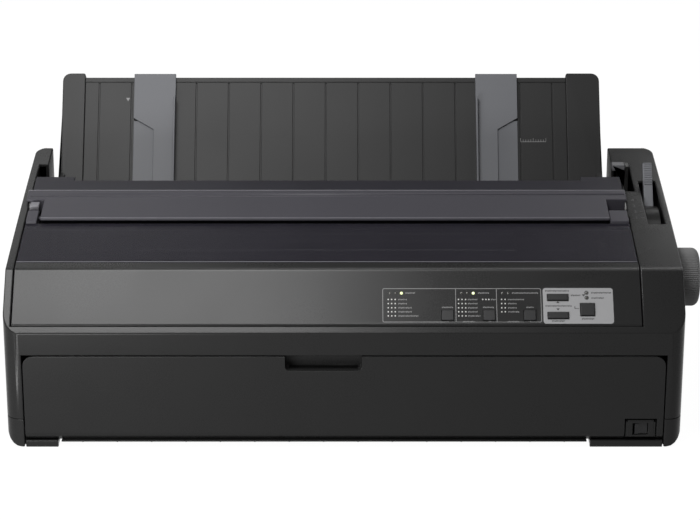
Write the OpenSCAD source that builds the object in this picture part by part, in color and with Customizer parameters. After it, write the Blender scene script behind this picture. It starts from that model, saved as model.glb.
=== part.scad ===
// Wide-carriage dot matrix printer: charcoal case with a sloped control panel, smoked window flap,
// bottom-hinged front door, leaning rear sheet guide and the print mechanism inside.
// X runs to the right, Y from the front to the rear, Z up. Lengths are in millimetres.
// Inside the modules X is counted from the case's middle, Y from its front face and Z from the desk.

/* [Case] */
// Width of the case without the knob
body_w = 616; // [600:4:740]
// Depth of the case at its foot
body_d = 297; // [290:1:360]
// Height of the front face, up to the foot of the control panel
lip_z = 112; // [106:1:135]
// Depth of the sloped control panel, seen from above
slope_run = 43; // [40:1:46]
// Height of the sloped control panel
slope_rise = 47; // [44:1:52]
// Rise of the top from the panel to the rear edge
top_rise = 39.7; // [34:0.1:44]
// Crown of the top over a straight line
top_crown = 1.9; // [0:0.1:3]
// Thickness of the moulded walls
wall = 3; // [2:0.25:4]
// Radius of the upright corners
corner_r = 15; // [8:1:20]
// Radius of the bottom side edges
keel_r = 14; // [10:1:16]
// Height of the seam between the lower and the upper case
seam_z = 28.5; // [27:0.5:30]
// Height of the rubber feet below the case
foot_h = 1.5; // [1:0.25:3]
// Visible gap around covers
seam_gap = 0.9; // [0.5:0.1:1.2]

/* [Covers] */
// Width of the case rim left of the covers
left_rim = 7.4; // [6:0.2:10]
// Width of the case deck right of the covers
right_deck = 38.8; // [38:0.2:44]
// Distance from the front face to the front edge of the smoked window
window_front_y = 54.7; // [50:0.1:58]
// Distance from the front face to the rear edge of the smoked window
window_rear_y = 127; // [120:0.5:132]
// Thickness of the smoked covers
smoked_t = 2.5; // [2:0.25:3.5]
// Rear edge of the raised paper exit cover
band_rear_y = 187.5; // [180:0.5:192]
// Height of the raised paper exit cover over the top
band_h = 4.5; // [3:0.25:6]
// Rear edge of the smoked strip behind it
strip_rear_y = 222; // [214:1:230]

/* [Front door] */
// Half of the width of the door
door_half_w = 290.6; // [270:0.2:342]
// Height of the top edge of the door
door_top_z = 89.7; // [74:0.1:94]
// Thickness of the door
door_t = 3; // [2:0.25:4]
// Distance between the ribs below the door
rib_pitch = 31.4; // [25:0.1:36]
// Middle of the paper path
paper_x = -18.7; // [-30:0.1:0]

/* [Sheet guide] */
// Lean of the sheet guide from upright, in degrees
guide_lean = 33.3; // [25:0.1:38]
// Length of the sheet guide along its lean
guide_len = 127; // [110:1:160]
// Width of the sheet guide
guide_w = 547.6; // [520:0.2:549]
// Width of the left end cap
left_cap_w = 23; // [18:1:30]
// Width of the right end cap
right_cap_w = 34; // [24:1:40]
// Distance between the grooves of the sheet guide
groove_pitch = 33; // [28:0.5:38]
// Width of the two sliding edge guides
edge_guide_w = 42.5; // [36:0.5:48]

/* [Mechanism] */
// Radius of the platen
platen_r = 16; // [14:0.5:16]
// Distance of the platen's axis from the front face
platen_y = 107; // [105:0.5:108]
// Height of the platen's axis
platen_z = 128.5; // [126:0.5:131]
// Radius of the paper feed knob
knob_r = 27.3; // [20:0.1:32]
// Width of the paper feed knob
knob_w = 22.4; // [16:0.2:28]
// Gear module
gear_m = 2; // [1.5:0.25:2]
// Width of the gears
gear_w = 6; // [4:0.5:7]
// Radius of the carriage shaft
rail_r = 5; // [4:0.5:6]
// Length of the print carriage
carriage_w = 56; // [48:1:60]
// Travel of the print carriage
carriage_travel = 370; // [300:5:372]
// Thickness of the steel sheet
steel_t = 2; // [1.5:0.25:3]
// Clearance of a shaft that is pressed into its hole
press_gap = 0.02; // [0.01:0.01:0.04]
// Running clearance of a shaft in its hole
run_gap = 0.05; // [0.02:0.01:0.1]
// Clearance between pieces that move past each other
gap = 0.4; // [0.3:0.1:0.8]

/* [Hidden] */
$fn = 48;

charcoal = "#3b3b3e";
graphite = "#2c2c2f";
smoked = "#26252b";
gray = "#7d8086";
steel = "#a5a8ac";
black = "#17171a";
nylon = "#d9d8d0";

// Case outline
half_w = body_w / 2;
slope_a = atan(slope_rise / slope_run);
crease_z = lip_z + slope_rise;
lip_r = 3;
crease_r = 5;
top_end_y = body_d - 5;
top_run = top_end_y - slope_run;
top_a = atan((top_rise + 4 * top_crown) / top_run);
top_steps = 10;
floor_z = foot_h;
rear_r = 3;

// Opening for the control panel and the covers
open_x0 = -half_w + left_rim;
open_x1 = half_w - right_deck;
cover_x0 = open_x0 + seam_gap;
cover_x1 = open_x1 - seam_gap;
open_front_y = 5;
panel_t = 3;
skirt_t = 3;
skirt_h = 14;
horn_y = body_d - 42;
horn_left_x = -half_w + 16.2;
horn_right_x = half_w - 44;
rear_wall_top = crease_z - 25;
feet_x = [-255, 0, 250];
feet_y = [34, body_d - 35];
foot_r = 9;

// Front door and what stands around it
door_r = 8;
door_room = [-door_half_w - seam_gap, door_half_w + seam_gap];
case_inside = [-half_w + wall, half_w - wall];
door_bottom_z = 7.9;
door_pivot = [door_r, door_bottom_z + door_r];
door_pin_r = 2.5;
door_flange = 10;
handle_x0 = -53.3;
handle_x1 = 16.1;
// The floor's front is raised between the two front feet, with a notch beside each foot
raised_x = [-258.1, 221.5];
raised_z = 6.3;
raised_y = 13;
notch_w = 2.9;
foot_notches = [span(raised_x[0], [-notch_w, 0.1]), span(raised_x[1], [-0.1, notch_w])];
foot_notch_z = 9.6;
// Toes below both ends of the door: from, to, and the groove at each end
toes = [[door_room[0], foot_notches[0][0] + 0.01, seam_gap, 0],
        [foot_notches[1][1] - 0.01, door_room[1], 0, seam_gap]];
toe_y = 6;
toe_z = 0.4;
handle_z0 = door_top_z - 13.8;
handle_depth = 14;
inner_front_y = 18;
switch_x0 = door_half_w - 32.6;
switch_x1 = switch_x0 + 24;
switch_z0 = 11.2;
switch_z1 = 26.5;
switch_gap = 2.5;
rocker_x0 = switch_x0 + 5.2;
rocker_x1 = switch_x0 + 18.4;
rocker_z0 = switch_z0 + 2.3;
rocker_z1 = switch_z1 - 2.6;
rocker_axis = [(rocker_x0 + rocker_x1) / 2, 8];
rocker_pin_r = 1.5;
rocker_tilt = 7;

// Covers: the raised one, its notches for the window's arms, and their hinges
notch_left_x = cover_x0 + 13.7;
notch_right_x = cover_x1 - 18.3;
notch_y = 168;
lug_y = 156.5;
band_front_y = window_rear_y + 2.5;
band_rib_y = [136, 139];
band_skirt = 8;
flap_axis_y = 146;
window_axis = [flap_axis_y, top_z(flap_axis_y) - 4.3];
window_pin_r = 2;
// The window's arms, and how far the raised cover reaches over the case beside it
left_arm_x = span(cover_x0, [0.4, 10.6]);
right_arm_x = [notch_right_x + gap, cover_x1 - 0.4];
arm_h = 2.6;
band_over = [3.7, 1.6];
exit_axis = [212, crease_z + 17];
exit_pin_r = 2.5;
strip_t = 2.5;
strip_cut = [cover_x0 + 37.7, cover_x1 - 38.3];
strip_cut_d = 8;

// Sheet guide, in its own leaning plane
guide_mid_x = -13.4;
guide_x0 = guide_mid_x - guide_w / 2;
guide_x1 = guide_mid_x + guide_w / 2;
guide_foot = [body_d - 1, crease_z - 7.5];
guide_panel_y = 2;
guide_panel_t = 4;
guide_rear_y = guide_panel_y + guide_panel_t;
guide_panel_x = [guide_x0 + left_cap_w, guide_x1 - right_cap_w];
cap_t = 10;
cap_over = 4.3;
guide_axis = [body_d - 13, crease_z + 1];
guide_arm_w = 5;
guide_arm_r = 7;
guide_pin_r = 3;
panel_top_v = guide_len - cap_over;
guide_rib_v = [30, 80];
edge_top_v = guide_len - 1.2;
edge_narrow_w = 22.2;
edge_narrow_v = [66.5, 78.5];
fence_h = 10;
edge_t = 2.5;
edge_left_x = -214.1;
edge_right_x = 133.8;

// Platen, gears and tractor
platen = [platen_y, platen_z];
platen_x0 = -235;
platen_x1 = 198;
shaft_r = 5;
frame_left_x = -262;
frame_right_x = 236;
gear_x0 = frame_right_x + steel_t + 4;
platen_teeth = 20;
idler_teeth = 26;
tractor_teeth = 15;
pinion_teeth = 12;
front_idler_a = -10;
rear_idler_a = -3;
tractor_a = 4;
pinion_a = -75;
front_idler = platen + mesh_reach(platen_teeth, idler_teeth, front_idler_a);
rear_idler = front_idler + mesh_reach(idler_teeth, idler_teeth, rear_idler_a);
tractor = rear_idler + mesh_reach(idler_teeth, tractor_teeth, tractor_a);
pinion = platen + mesh_reach(platen_teeth, pinion_teeth, pinion_a);
platen_phase = 0;
front_idler_phase = mesh_phase(platen_phase, platen_teeth, front_idler_a, idler_teeth);
rear_idler_phase = mesh_phase(front_idler_phase, idler_teeth, rear_idler_a, idler_teeth);
tractor_phase = mesh_phase(rear_idler_phase, idler_teeth, tractor_a, tractor_teeth);
pinion_phase = mesh_phase(platen_phase, platen_teeth, pinion_a, pinion_teeth);
axle_r = 3;
shaft_end_r = 4;
motor_r = 20;
motor_shaft_r = 2.5;
tooth_share = 0.42;
knob_x0 = half_w + 0.8;
knob_x1 = half_w + knob_w + 2 * gap;
knob_flutes = 44;
knob_edge_r = 6;
square_shaft = 8;
wheel_r = 11;
sprocket_pins = 6;
support_shaft = tractor + [-20, -8];
support_r = 3;
tractor_w = 24;
tractor_x = [-220, 182];
flap_axis = tractor + [21, 11];
flap_pin_r = 1.5;

// Carriage
rail_axis = [62, 101.5];
carriage_x = -190;
belt_y = 60;
belt_z = 78.5;
belt_h = 7;
belt_t = 1.2;
pulley_r = 9;
motor_x = -236;
idler_pulley_x = carriage_x + carriage_travel + 28;
ledge_z = 74;
cross_rail_y0 = 78;
cross_rail_y1 = 84;
cross_rail_z0 = 84;
cross_rail_z1 = 90;

// Ribbon cartridge
cartridge_x0 = -246;
cartridge_x1 = idler_pulley_x + 14;
cartridge_z = [90, 106];
cartridge_arm_w = 12;
cartridge_arm_z = rail_axis.y + rail_r + 0.5;
cartridge_arm_t = 10;
ribbon_x = [cartridge_x0 + 6, cartridge_x1 - 6];
ribbon_y = 90;
ribbon_h = 13;

// Levers on the right
slot_z = crease_z - 9;
lever_slot = [half_w - 22, half_w - 6];
lever_slot_y = [127, 217];
lever_x0 = half_w - 17.7;
lever_x1 = half_w - 9;
lever_axis = [169.6, crease_z - 29.5];
lever_a = 54;
lever_reach = 92;
drum_r = 46;
drum_x0 = half_w - 21;
drum_x1 = half_w - 7.5;
drum_t = 3;
bracket_x0 = half_w - wall - 2;
release_axis = [body_d - 75, 60];
release_x0 = half_w - 33;
release_x1 = half_w - 29;
release_top = [body_d - 53, crease_z + 34.5];
release_slot_y = [body_d - 102, horn_y - 3];
release_tab = 12;

// Base and electronics
base_z = 8;
base_rear_y = body_d - 12;
side_rear_y = body_d - 25;
base_posts_x = [-240, -80, 80, 220];
base_posts_y = [50, body_d - 32];
board_z = 28.4;
board_rear_y = body_d - 13;
supply_x = [-250, -112];
supply_y = [150, body_d - 19];
supply_top = 68;
inlet_x = [-232, -200];
inlet_z = [34, 58];
// Sockets on the main board: left and right side, and top
sockets = [[60, 120, 45], [140, 153, 42]];

// Print on the control panel, measured up the slope from its foot
label_x0 = 179.6;
label_x1 = 243;
label_s0 = 9.6;
label_s1 = 44.4;
label_t = 0.4;
button_travel = 1;
square_s0 = 12.6;
square_h = 9.7;
lamp_r = 1.4;
key_board_z = -9.4;

// The frame's origin lies below the middle of the whole object
rear_most = guide_foot.x + guide_len * sin(guide_lean) + cap_t * cos(guide_lean);
middle_x = knob_w / 2 + gap;
middle_y = rear_most / 2;

// --- helpers -----------------------------------------------------------------------------

function unit(v) = v / norm(v);
function span(place, ends) = [for (e = ends) place + e];
function turned(v, a) = [v.x * cos(a) - v.y * sin(a), v.x * sin(a) + v.y * cos(a)];

// Points of an arc of radius r that rounds the corner p between a and b
function corner(a, p, b, r, n) =
  let (u = unit(a - p), v = unit(b - p), half = acos(u * v) / 2)
  let (c = p + unit(u + v) * r / sin(half), start = p + u * r / tan(half) - c)
  let (side = sign(cross(-u, v)), turn = 180 - 2 * half)
  [for (i = [0:n]) c + turned(start, side * turn * i / n)];

// Outline whose corners [x, y, radius] are rounded where the radius isn't 0
function rounded(pts, n = 5) = [
  for (i = [0:len(pts) - 1])
    let (a = pts[(i + len(pts) - 1) % len(pts)], p = pts[i], b = pts[(i + 1) % len(pts)])
    each (p[2] > 0 ? corner([a.x, a.y], [p.x, p.y], [b.x, b.y], p[2], n) : [[p.x, p.y]])
];

// Height of the top at the depth y, lowered by d square to the surface
function top_z(y, d = 0) =
  let (u = (y - slope_run) / top_run)
  crease_z + top_rise * u + 4 * top_crown * u * (1 - u) - d / cos(top_a);

// Depth at which the panel's slope meets the top, both lowered by d
function crease_y(d) = slope_run + d * (1 / cos(slope_a) - 1 / cos(top_a)) / (tan(slope_a) - tan(top_a));

// Points along the top from y0 to y1, raised by h
function top_line(y0, y1, h) =
  [for (i = [0:top_steps]) let (y = y0 + (y1 - y0) * i / top_steps) [y, top_z(y) + h]];

// Full side outline: rounded front, crowned top and rounded rear, inset by d
function case_outline(d) = concat(
  [[body_d - d, floor_z + d], [d, floor_z + d]],
  corner([d, floor_z], [d, lip_z + d * tan(slope_a) - d / cos(slope_a)],
         [crease_y(d), top_z(crease_y(d), d)], lip_r, 3),
  corner([d, lip_z + d * tan(slope_a) - d / cos(slope_a)], [crease_y(d), top_z(crease_y(d), d)],
         [top_end_y, top_z(top_end_y, d)], crease_r, 4),
  [for (i = [1:top_steps]) let (y = crease_y(d) + (body_d - rear_r - 6 - crease_y(d)) * i / top_steps)
    [y, top_z(y, d)]],
  corner([slope_run, crease_z], [body_d - d, top_z(body_d - d, d)], [body_d - d, floor_z],
         rear_r - d / 2, 5));

// Distance vector between the axes of two meshing gears
function mesh_reach(n1, n2, a) = gear_m * (n1 + n2) / 2 * [cos(a), sin(a)];

// Turn of a gear of n2 teeth that meshes with one of n1 teeth in the direction a
function mesh_phase(phase1, n1, a, n2) = a + 180 - (0.5 - (a - phase1) * n1 / 360) * 360 / n2;

// Gear outline with straight flanks: root, tip, tip and root of each tooth
function gear_points(n, phase) =
  let (pitch_r = gear_m * n / 2, tooth = gear_m * PI / 2 * tooth_share)
  let (rim = [pitch_r - 1.2 * gear_m, pitch_r + 0.8 * gear_m])
  let (wide = tooth + 1.2 * gear_m * tan(20), slim = tooth - 0.8 * gear_m * tan(20))
  [for (k = [0:n - 1], e = [[0, -wide], [1, -slim], [1, slim], [0, wide]])
    turned([sqrt(pow(rim[e[0]], 2) - e[1] * e[1]), e[1]], phase + 360 * k / n)];

module home() translate([-middle_x, -middle_y, 0]) children();

// 2D outline in Y and Z, drawn out along X
module along_x(x0, x1) translate([x0, 0, 0]) rotate([90, 0, 90]) linear_extrude(x1 - x0) children();

// 2D outline in X and Z, drawn out along Y
module along_y(y0, y1) translate([0, y1, 0]) rotate([90, 0, 0]) linear_extrude(y1 - y0) children();

module block(x, y, z) translate([x[0], y[0], z[0]]) cube([x[1] - x[0], y[1] - y[0], z[1] - z[0]]);

module rod(p, r, x0, x1) translate([x0, p.x, p.y]) rotate([0, 90, 0]) cylinder(r = r, h = x1 - x0);

module post(p, r, z0, z1) translate([p.x, p.y, z0]) cylinder(r = r, h = z1 - z0);

module round_rect(x0, y0, x1, y1, r) {
  translate([x0 + r, y0]) square([x1 - x0 - 2 * r, y1 - y0]);
  translate([x0, y0 + r]) square([x1 - x0, y1 - y0 - 2 * r]);
  for (x = [x0 + r, x1 - r], y = [y0 + r, y1 - r]) translate([x, y]) circle(r);
}

// The case as a solid between two heights, inset by d
module case_solid(d, z0, z1) intersection() {
  along_x(-half_w + d, half_w - d) polygon(case_outline(d));
  translate([0, 0, z0]) linear_extrude(z1 - z0)
    round_rect(-half_w + d, d, half_w - d, body_d - d, corner_r - d);
}

// Moves children onto the control panel: X across, Y up the slope and Z out of it
module on_panel() translate([0, 0, lip_z]) rotate([slope_a, 0, 0]) children();

// Moves children into the sheet guide's plane: X across, Y to its rear and Z up along it
module on_guide() translate([0, guide_foot.x, guide_foot.y]) rotate([-guide_lean, 0, 0]) children();

// --- case --------------------------------------------------------------------------------

// The lower case as a solid, inset by d, with rounded corners and rounded bottom side edges
module keel_solid(d) intersection() {
  linear_extrude(2 * seam_z) round_rect(-half_w + d, d, half_w - d, body_d - d, corner_r - d);
  along_y(0, body_d) polygon(rounded([
    [-half_w + d, floor_z + d, keel_r - d], [half_w - d, floor_z + d, keel_r - d],
    [half_w - d, 2 * seam_z, 0], [-half_w + d, 2 * seam_z, 0]]));
}

module lower_case() {
  color(charcoal) home() {
    difference() {
      intersection() {
        case_solid(0, floor_z, seam_z);
        keel_solid(0);
      }
      // Room behind the front wall, and beside the front door
      for (room = [[inner_front_y + wall, body_d - wall, floor_z + wall],
                   [wall, inner_front_y, door_bottom_z - gap]]) intersection() {
        keel_solid(wall);
        block(case_inside, [room[0], room[1]], [room[2], seam_z + 1]);
      }
      // Room for the front door, from one side pillar to the other
      block(door_room, [-1, inner_front_y], [door_bottom_z - gap, seam_z + 1]);
      // Opening for the power switch
      block([switch_x0 + 2, switch_x1 - 2], [inner_front_y - 1, inner_front_y + wall + 1],
            [switch_z0 + 2, seam_z + 1]);
      block(raised_x, [-1, raised_y], [0, raised_z]);
      for (x = foot_notches) block(x, [-1, inner_front_y], [0, foot_notch_z]);
      for (x = toes) block([x[0], x[1]], [-1, toe_y], [0, door_bottom_z]);
    }
    // Toes under both ends of the door, with a face that falls back
    for (x = toes) along_x(x[0] + x[2], x[1] - x[3]) polygon([
      [toe_y + 0.1, toe_z], [2.2, toe_z], [0.5, 4], [0.5, door_bottom_z - gap],
      [toe_y + 0.1, door_bottom_z - gap]]);
    // Rib ends below the door
    for (i = [-7:7])
      block(span(paper_x + i * rib_pitch, [-0.75, 0.75]), [1, raised_y + 0.1], span(raised_z, [-0.8, 0.1]));
    // Ears that carry the door's pins
    for (side = [-1, 1]) difference() {
      translate([side * (door_half_w + seam_gap + 3), 0, 0])
        block([-3, 3], [wall, inner_front_y], [door_bottom_z - gap, seam_z - gap]);
      rod(door_pivot, door_pin_r + run_gap, -half_w, half_w);
    }
    // Posts below the base frame
    for (x = base_posts_x, y = base_posts_y) post([x, y], 5, floor_z + wall - 0.1, base_z);
  }
}

module upper_case() {
  color(charcoal) home() difference() {
    union() {
      difference() {
        case_solid(0, seam_z, 2 * crease_z);
        case_solid(wall, seam_z - wall - 1, 2 * crease_z);
      }
      // Skirts along both sides of the covers
      for (x = [open_x0 - skirt_t, open_x1]) intersection() {
        along_x(x, x + skirt_t) difference() {
          polygon(case_outline(1));
          translate([0, -skirt_h]) polygon(case_outline(1));
          translate([0, -200]) square([open_front_y + 2, 400]);
        }
        block([-half_w, half_w], [open_front_y, horn_y], [lip_z - skirt_h, 2 * crease_z]);
      }
      // Inner faces of the two rear horns
      for (x = [horn_left_x - wall, horn_right_x]) intersection() {
        along_x(x, x + wall) polygon(case_outline(1));
        block([-half_w, half_w], [horn_y - wall, body_d], [seam_z, 2 * crease_z]);
      }
      for (x = [[-half_w + 1, horn_left_x], [horn_right_x, half_w - 1]]) intersection() {
        along_x(x[0], x[1]) polygon(case_outline(1));
        block([-half_w, half_w], [horn_y - wall, horn_y], [rear_wall_top, 2 * crease_z]);
      }
    }
    // Front door
    block(door_room, [-1, inner_front_y + 4], [0, door_top_z + seam_gap]);
    // Control panel and covers
    difference() {
      block([open_x0, open_x1], [open_front_y, horn_y], [lip_z - 4, 2 * crease_z]);
      block([open_x0, open_x1], [0, open_front_y + 9], [0, lip_z]);
    }
    block([horn_left_x, horn_right_x], [horn_y - 1, body_d + 1], [rear_wall_top, 2 * crease_z]);
    // Lever slots in the deck
    block(lever_slot, lever_slot_y, [slot_z, 2 * crease_z]);
    block([open_x1 - 1, release_x1 + 1.5], release_slot_y, [slot_z, 2 * crease_z]);
    // Knob shaft, and the pins of the covers and of the sheet guide
    rod(platen, shaft_r + 3, half_w - wall - 1, half_w + 1);
    // Sockets at the rear
    block(inlet_x, [body_d - wall - 1, body_d + 1], inlet_z);
    for (s = sockets)
      block([s[0] - gap, s[1] + gap], [body_d - wall - 1, body_d + 1], [board_z, s[2] + gap]);
    rod(guide_axis, guide_pin_r + run_gap, -half_w + wall + 1, horn_right_x + wall + 1);
  }
  // Pins that carry the paper exit cover
  color(charcoal) home() {
    rod(exit_axis, exit_pin_r, open_x0 - 0.5, open_x0 + 7);
    rod(exit_axis, exit_pin_r, open_x1 - 7, open_x1 + 0.5);
  }
}

module rubber_feet() {
  color(black) home()
    for (x = feet_x, y = feet_y) post([x, y], foot_r, 0, floor_z);
}

// --- control panel -----------------------------------------------------------------------

// Skin of the case between two insets over the panel's depth
module panel_skin(d0, d1) intersection() {
  along_x(cover_x0, cover_x1) difference() {
    polygon(case_outline(d0));
    polygon(case_outline(d1));
  }
  block([cover_x0, cover_x1], [open_front_y + seam_gap, window_front_y - seam_gap],
        [lip_z - 2, 2 * crease_z]);
}

// Places of the push buttons: left side, width, foot on the slope and height
function button_box(name) =
  name == "font" ? [88, 10.6, square_s0, square_h] :
  name == "pitch" ? [125.4, 10.6, square_s0, square_h] :
  name == "tear_off" ? [162.1, 10.6, square_s0, square_h] :
  name == "load_eject" ? [183.9, 18.3, 32.2, 5.8] :
  name == "line_feed" ? [183.9, 18.3, 14.5, 5.9] : [213.4, 12.4, 17.4, 11.7];
button_names = ["font", "pitch", "tear_off", "load_eject", "line_feed", "pause"];

// Lamps: place across and up the slope
lamps = [
  [41.3, 39.4], [46.5, 39.4], [51.8, 39.4], [106.1, 39.4], [111.3, 39.4], [116.8, 39.4],
  [143.1, 39.4], [148.3, 39.4], [219.2, 39.7], [219.2, 34.8]
];

module button_holes(extra) on_panel() for (name = button_names) {
  b = button_box(name);
  translate([b[0] - extra, b[2] - extra, -20]) cube([b[1] + 2 * extra, b[3] + 2 * extra, 30]);
}

module lamp_rods(r, z0, z1) on_panel() for (p = lamps) post(p, r, z0, z1);

module control_panel_cover() {
  color(charcoal) home() difference() {
    panel_skin(0, panel_t);
    button_holes(gap);
    lamp_rods(lamp_r, -20, 10);
    on_panel() block([label_x0, label_x1], [label_s0, label_s1], [-label_t, 5]);
  }
}

module control_panel_label() {
  color("#b9babd") home() difference() {
    on_panel() block([label_x0, label_x1], [label_s0, label_s1], [-label_t, 0]);
    button_holes(gap);
    lamp_rods(lamp_r, -20, 10);
  }
}

module control_circuit_board() {
  color("#2f6b45") home() on_panel() {
    block([30, 250], [8, 46], [key_board_z - 1.6, key_board_z]);
    for (name = button_names) {
      b = button_box(name);
      block(span(b[0] + b[1] / 2, [-3, 3]), span(b[2] + b[3] / 2, [-2.5, 2.5]), [key_board_z, -6]);
    }
    for (x = [32, 76, 244]) post([x, 42], 2.2, key_board_z, -panel_t);
  }
}

module push_button(name) {
  b = button_box(name);
  color(graphite) home() on_panel() {
    block([b[0], b[0] + b[1]], [b[2], b[2] + b[3]], [-panel_t - 1, button_travel + 0.4]);
    block(span(b[0] + b[1] / 2, [-2, 2]), span(b[2] + b[3] / 2, [-1.5, 1.5]),
          span(button_travel, [-5.7, -2.7]));
  }
}

module font_button() push_button("font");
module pitch_button() push_button("pitch");
module tear_off_button() push_button("tear_off");
module load_eject_button() push_button("load_eject");
module line_feed_button() push_button("line_feed");
module pause_button() push_button("pause");

module indicator_lights() {
  color("#b8c48a") home() lamp_rods(lamp_r, key_board_z, 0.2);
}

// --- covers ------------------------------------------------------------------------------

// Outline of the raised cover: a channel that is open below
function band_outline() =
  let (rear = top_z(band_rear_y), y0 = band_rib_y[0], y1 = band_rib_y[1])
  concat(
    [[band_front_y, top_z(band_front_y) + 1.5]],
    top_line(band_front_y, band_rear_y, band_h),
    [[band_rear_y + 1, rear - band_skirt], [band_rear_y - 2, rear - band_skirt],
     [band_rear_y - 2, rear + 1.5], [y1, top_z(y1) + 1.5], [y1, top_z(y1) - band_skirt],
     [y0, top_z(y0) - band_skirt], [y0, top_z(y0) + 1.5]]);

module paper_exit_cover() {
  color("#403f46") home() {
    difference() {
      union() {
        along_x(cover_x0, cover_x1) polygon(band_outline());
        // Walls beside the two notches
        for (x = [notch_left_x, notch_right_x - wall])
          along_x(x, x + wall) polygon(concat(
            [[band_rib_y[0], top_z(band_rib_y[0]) - band_skirt]],
            top_line(band_rib_y[0], notch_y + 3, band_h - 1),
            [[notch_y + 3, top_z(notch_y) - band_skirt]]));
        along_x(cover_x0, cover_x1) polygon([
          [notch_y, top_z(notch_y) - band_skirt], [notch_y, top_z(notch_y) + band_h - 0.5],
          [notch_y + 3, top_z(notch_y + 3) + band_h - 0.5], [notch_y + 3, top_z(notch_y + 3) - band_skirt]]);
      }
      for (x = [[cover_x0 - 1, notch_left_x], [notch_right_x, cover_x1 + 1]])
        block(x, [120, notch_y], [100, 2 * crease_z]);
    }
    // Lug behind the window's left arm
    block([cover_x0 + 1.1, notch_left_x - 4.4], [lug_y, notch_y + 0.1],
          [top_z(notch_y) - band_skirt, top_z(lug_y) + band_h - 0.8]);
    // Pins that carry the window flap
    rod(window_axis, window_pin_r, left_arm_x[0] + 1, notch_left_x + 1);
    rod(window_axis, window_pin_r, notch_right_x - 1, right_arm_x[1] - 1);
    // Ends of the raised part that reach over the case
    for (x = [[cover_x0 - band_over[0], cover_x0 + 0.1], [cover_x1 - 0.1, cover_x1 + band_over[1]]])
      along_x(x[0], x[1]) polygon(concat(
        top_line(notch_y, band_rear_y, band_h), [[band_rear_y, top_z(band_rear_y) + 1.5],
        [notch_y, top_z(notch_y) + 1.5]]));
    // Arms that reach back to the case's pins
    for (x = [[cover_x0 + 0.5, cover_x0 + 6], [cover_x1 - 6, cover_x1 - 0.5]]) difference() {
      along_x(x[0], x[1]) polygon(concat(
        [[band_rear_y - 1, top_z(band_rear_y) - band_skirt]],
        top_line(band_rear_y - 1, exit_axis.x + band_skirt, -0.6),
        [[exit_axis.x + band_skirt, top_z(exit_axis.x + band_skirt) - 2 * band_skirt]]));
      rod(exit_axis, exit_pin_r + run_gap, -half_w, half_w);
    }
  }
}

module rear_smoked_strip() {
  color(smoked) home() difference() {
    along_x(cover_x0, cover_x1) polygon(concat(
      top_line(band_rear_y + 1.2, strip_rear_y, 2 - strip_t),
      [for (i = [top_steps:-1:0]) top_line(band_rear_y + 1.2, strip_rear_y, 2)[i]]));
    block(strip_cut, [strip_rear_y - strip_cut_d, strip_rear_y + 5], [100, 2 * crease_z]);
  }
}

module window_flap() {
  color(smoked) home() {
    along_x(cover_x0, cover_x1) polygon(concat(
      top_line(window_front_y, window_rear_y, -smoked_t),
      [for (i = [top_steps:-1:0]) top_line(window_front_y, window_rear_y, 0)[i]]));
    for (x = [left_arm_x, right_arm_x])
      difference() {
        along_x(x[0], x[1]) polygon(concat(
          [[window_rear_y - 8, top_z(window_rear_y - 8) - smoked_t - 1],
           [flap_axis_y, top_z(flap_axis_y) - 9], [flap_axis_y + 5, top_z(flap_axis_y) - 6],
           [flap_axis_y + 5, top_z(flap_axis_y) + 1]],
          [for (i = [top_steps:-1:0]) top_line(window_rear_y + 0.2, flap_axis_y + 3, arm_h)[i]],
          [[window_rear_y + 0.2, top_z(window_rear_y) - 1], [window_rear_y - 8, top_z(window_rear_y - 8) - 1]]));
        rod(window_axis, window_pin_r + run_gap, -half_w, half_w);
      }
  }
}

// --- front -------------------------------------------------------------------------------

// Side outline of the door's skin, with its curled bottom edge
function door_outline() = concat(
  [[0, door_top_z], [0, door_pivot.y]],
  [for (a = [195:15:270]) door_pivot + door_r * [cos(a), sin(a)]],
  [for (a = [270:-15:195]) door_pivot + (door_r - door_t) * [cos(a), sin(a)]],
  [[door_t, door_pivot.y], [door_t, door_top_z]]);

module front_door() {
  color(charcoal) home() {
    difference() {
      union() {
        intersection() {
          along_x(-door_half_w, door_half_w) polygon(door_outline());
          along_y(-1, 30) polygon(rounded([
            [-door_half_w, 0, 0], [door_half_w, 0, 0], [door_half_w, door_top_z, 9.5],
            [-door_half_w, door_top_z, 9.5]]));
        }
        // Side walls, and the lugs around the pins
        for (side = [-1, 1]) translate([side * (door_half_w - wall / 2), 0, 0]) {
          block([-wall / 2, wall / 2], [door_t - 0.1, door_flange], [door_pivot.y, door_top_z - 12]);
          rod(door_pivot, 4.5, -wall / 2, wall / 2);
        }
        // Pocket of the handle
        block([handle_x0 - wall, handle_x1 + wall], [door_t - 0.1, handle_depth + wall],
              [handle_z0 - wall, door_top_z - 3]);
      }
      along_y(-1, handle_depth) polygon(rounded([
        [handle_x0, handle_z0, 4], [handle_x1, handle_z0, 4], [handle_x1, door_top_z + 5, 0],
        [handle_x0, door_top_z + 5, 0]]));
      block([switch_x0 - switch_gap, switch_x1 + switch_gap], [-1, door_flange + 1],
            [0, switch_z1 + switch_gap]);
    }
    for (side = [-1, 1]) rod(door_pivot, door_pin_r, side * door_half_w - 3, side * door_half_w + 3);
  }
}

// Folded paper guide with ribs along it
module front_paper_guide() {
  color(black) home() {
    along_x(-205, 185) polygon([[24, 34], [90, 62], [126, 66], [126, 63.5], [90.5, 59.5], [24, 31.2]]);
    for (i = [-5:6]) along_x(paper_x + i * rib_pitch - 0.75, paper_x + i * rib_pitch + 0.75)
      polygon([[26, 34.8], [90, 61.9], [90, 64], [26, 37.2]]);
    for (x = [-205, 182]) along_x(x, x + 3)
      polygon([[60, base_z + steel_t], [80, base_z + steel_t], [80, 56], [60, 47.5]]);
  }
}

module rear_paper_guide() {
  color(black) home() along_x(frame_left_x + steel_t, frame_right_x)
    polygon([[144, 104], [153, 99], [205, 96], [222, 96], [222, 93.5], [152, 96.5], [143, 102]]);
}

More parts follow.
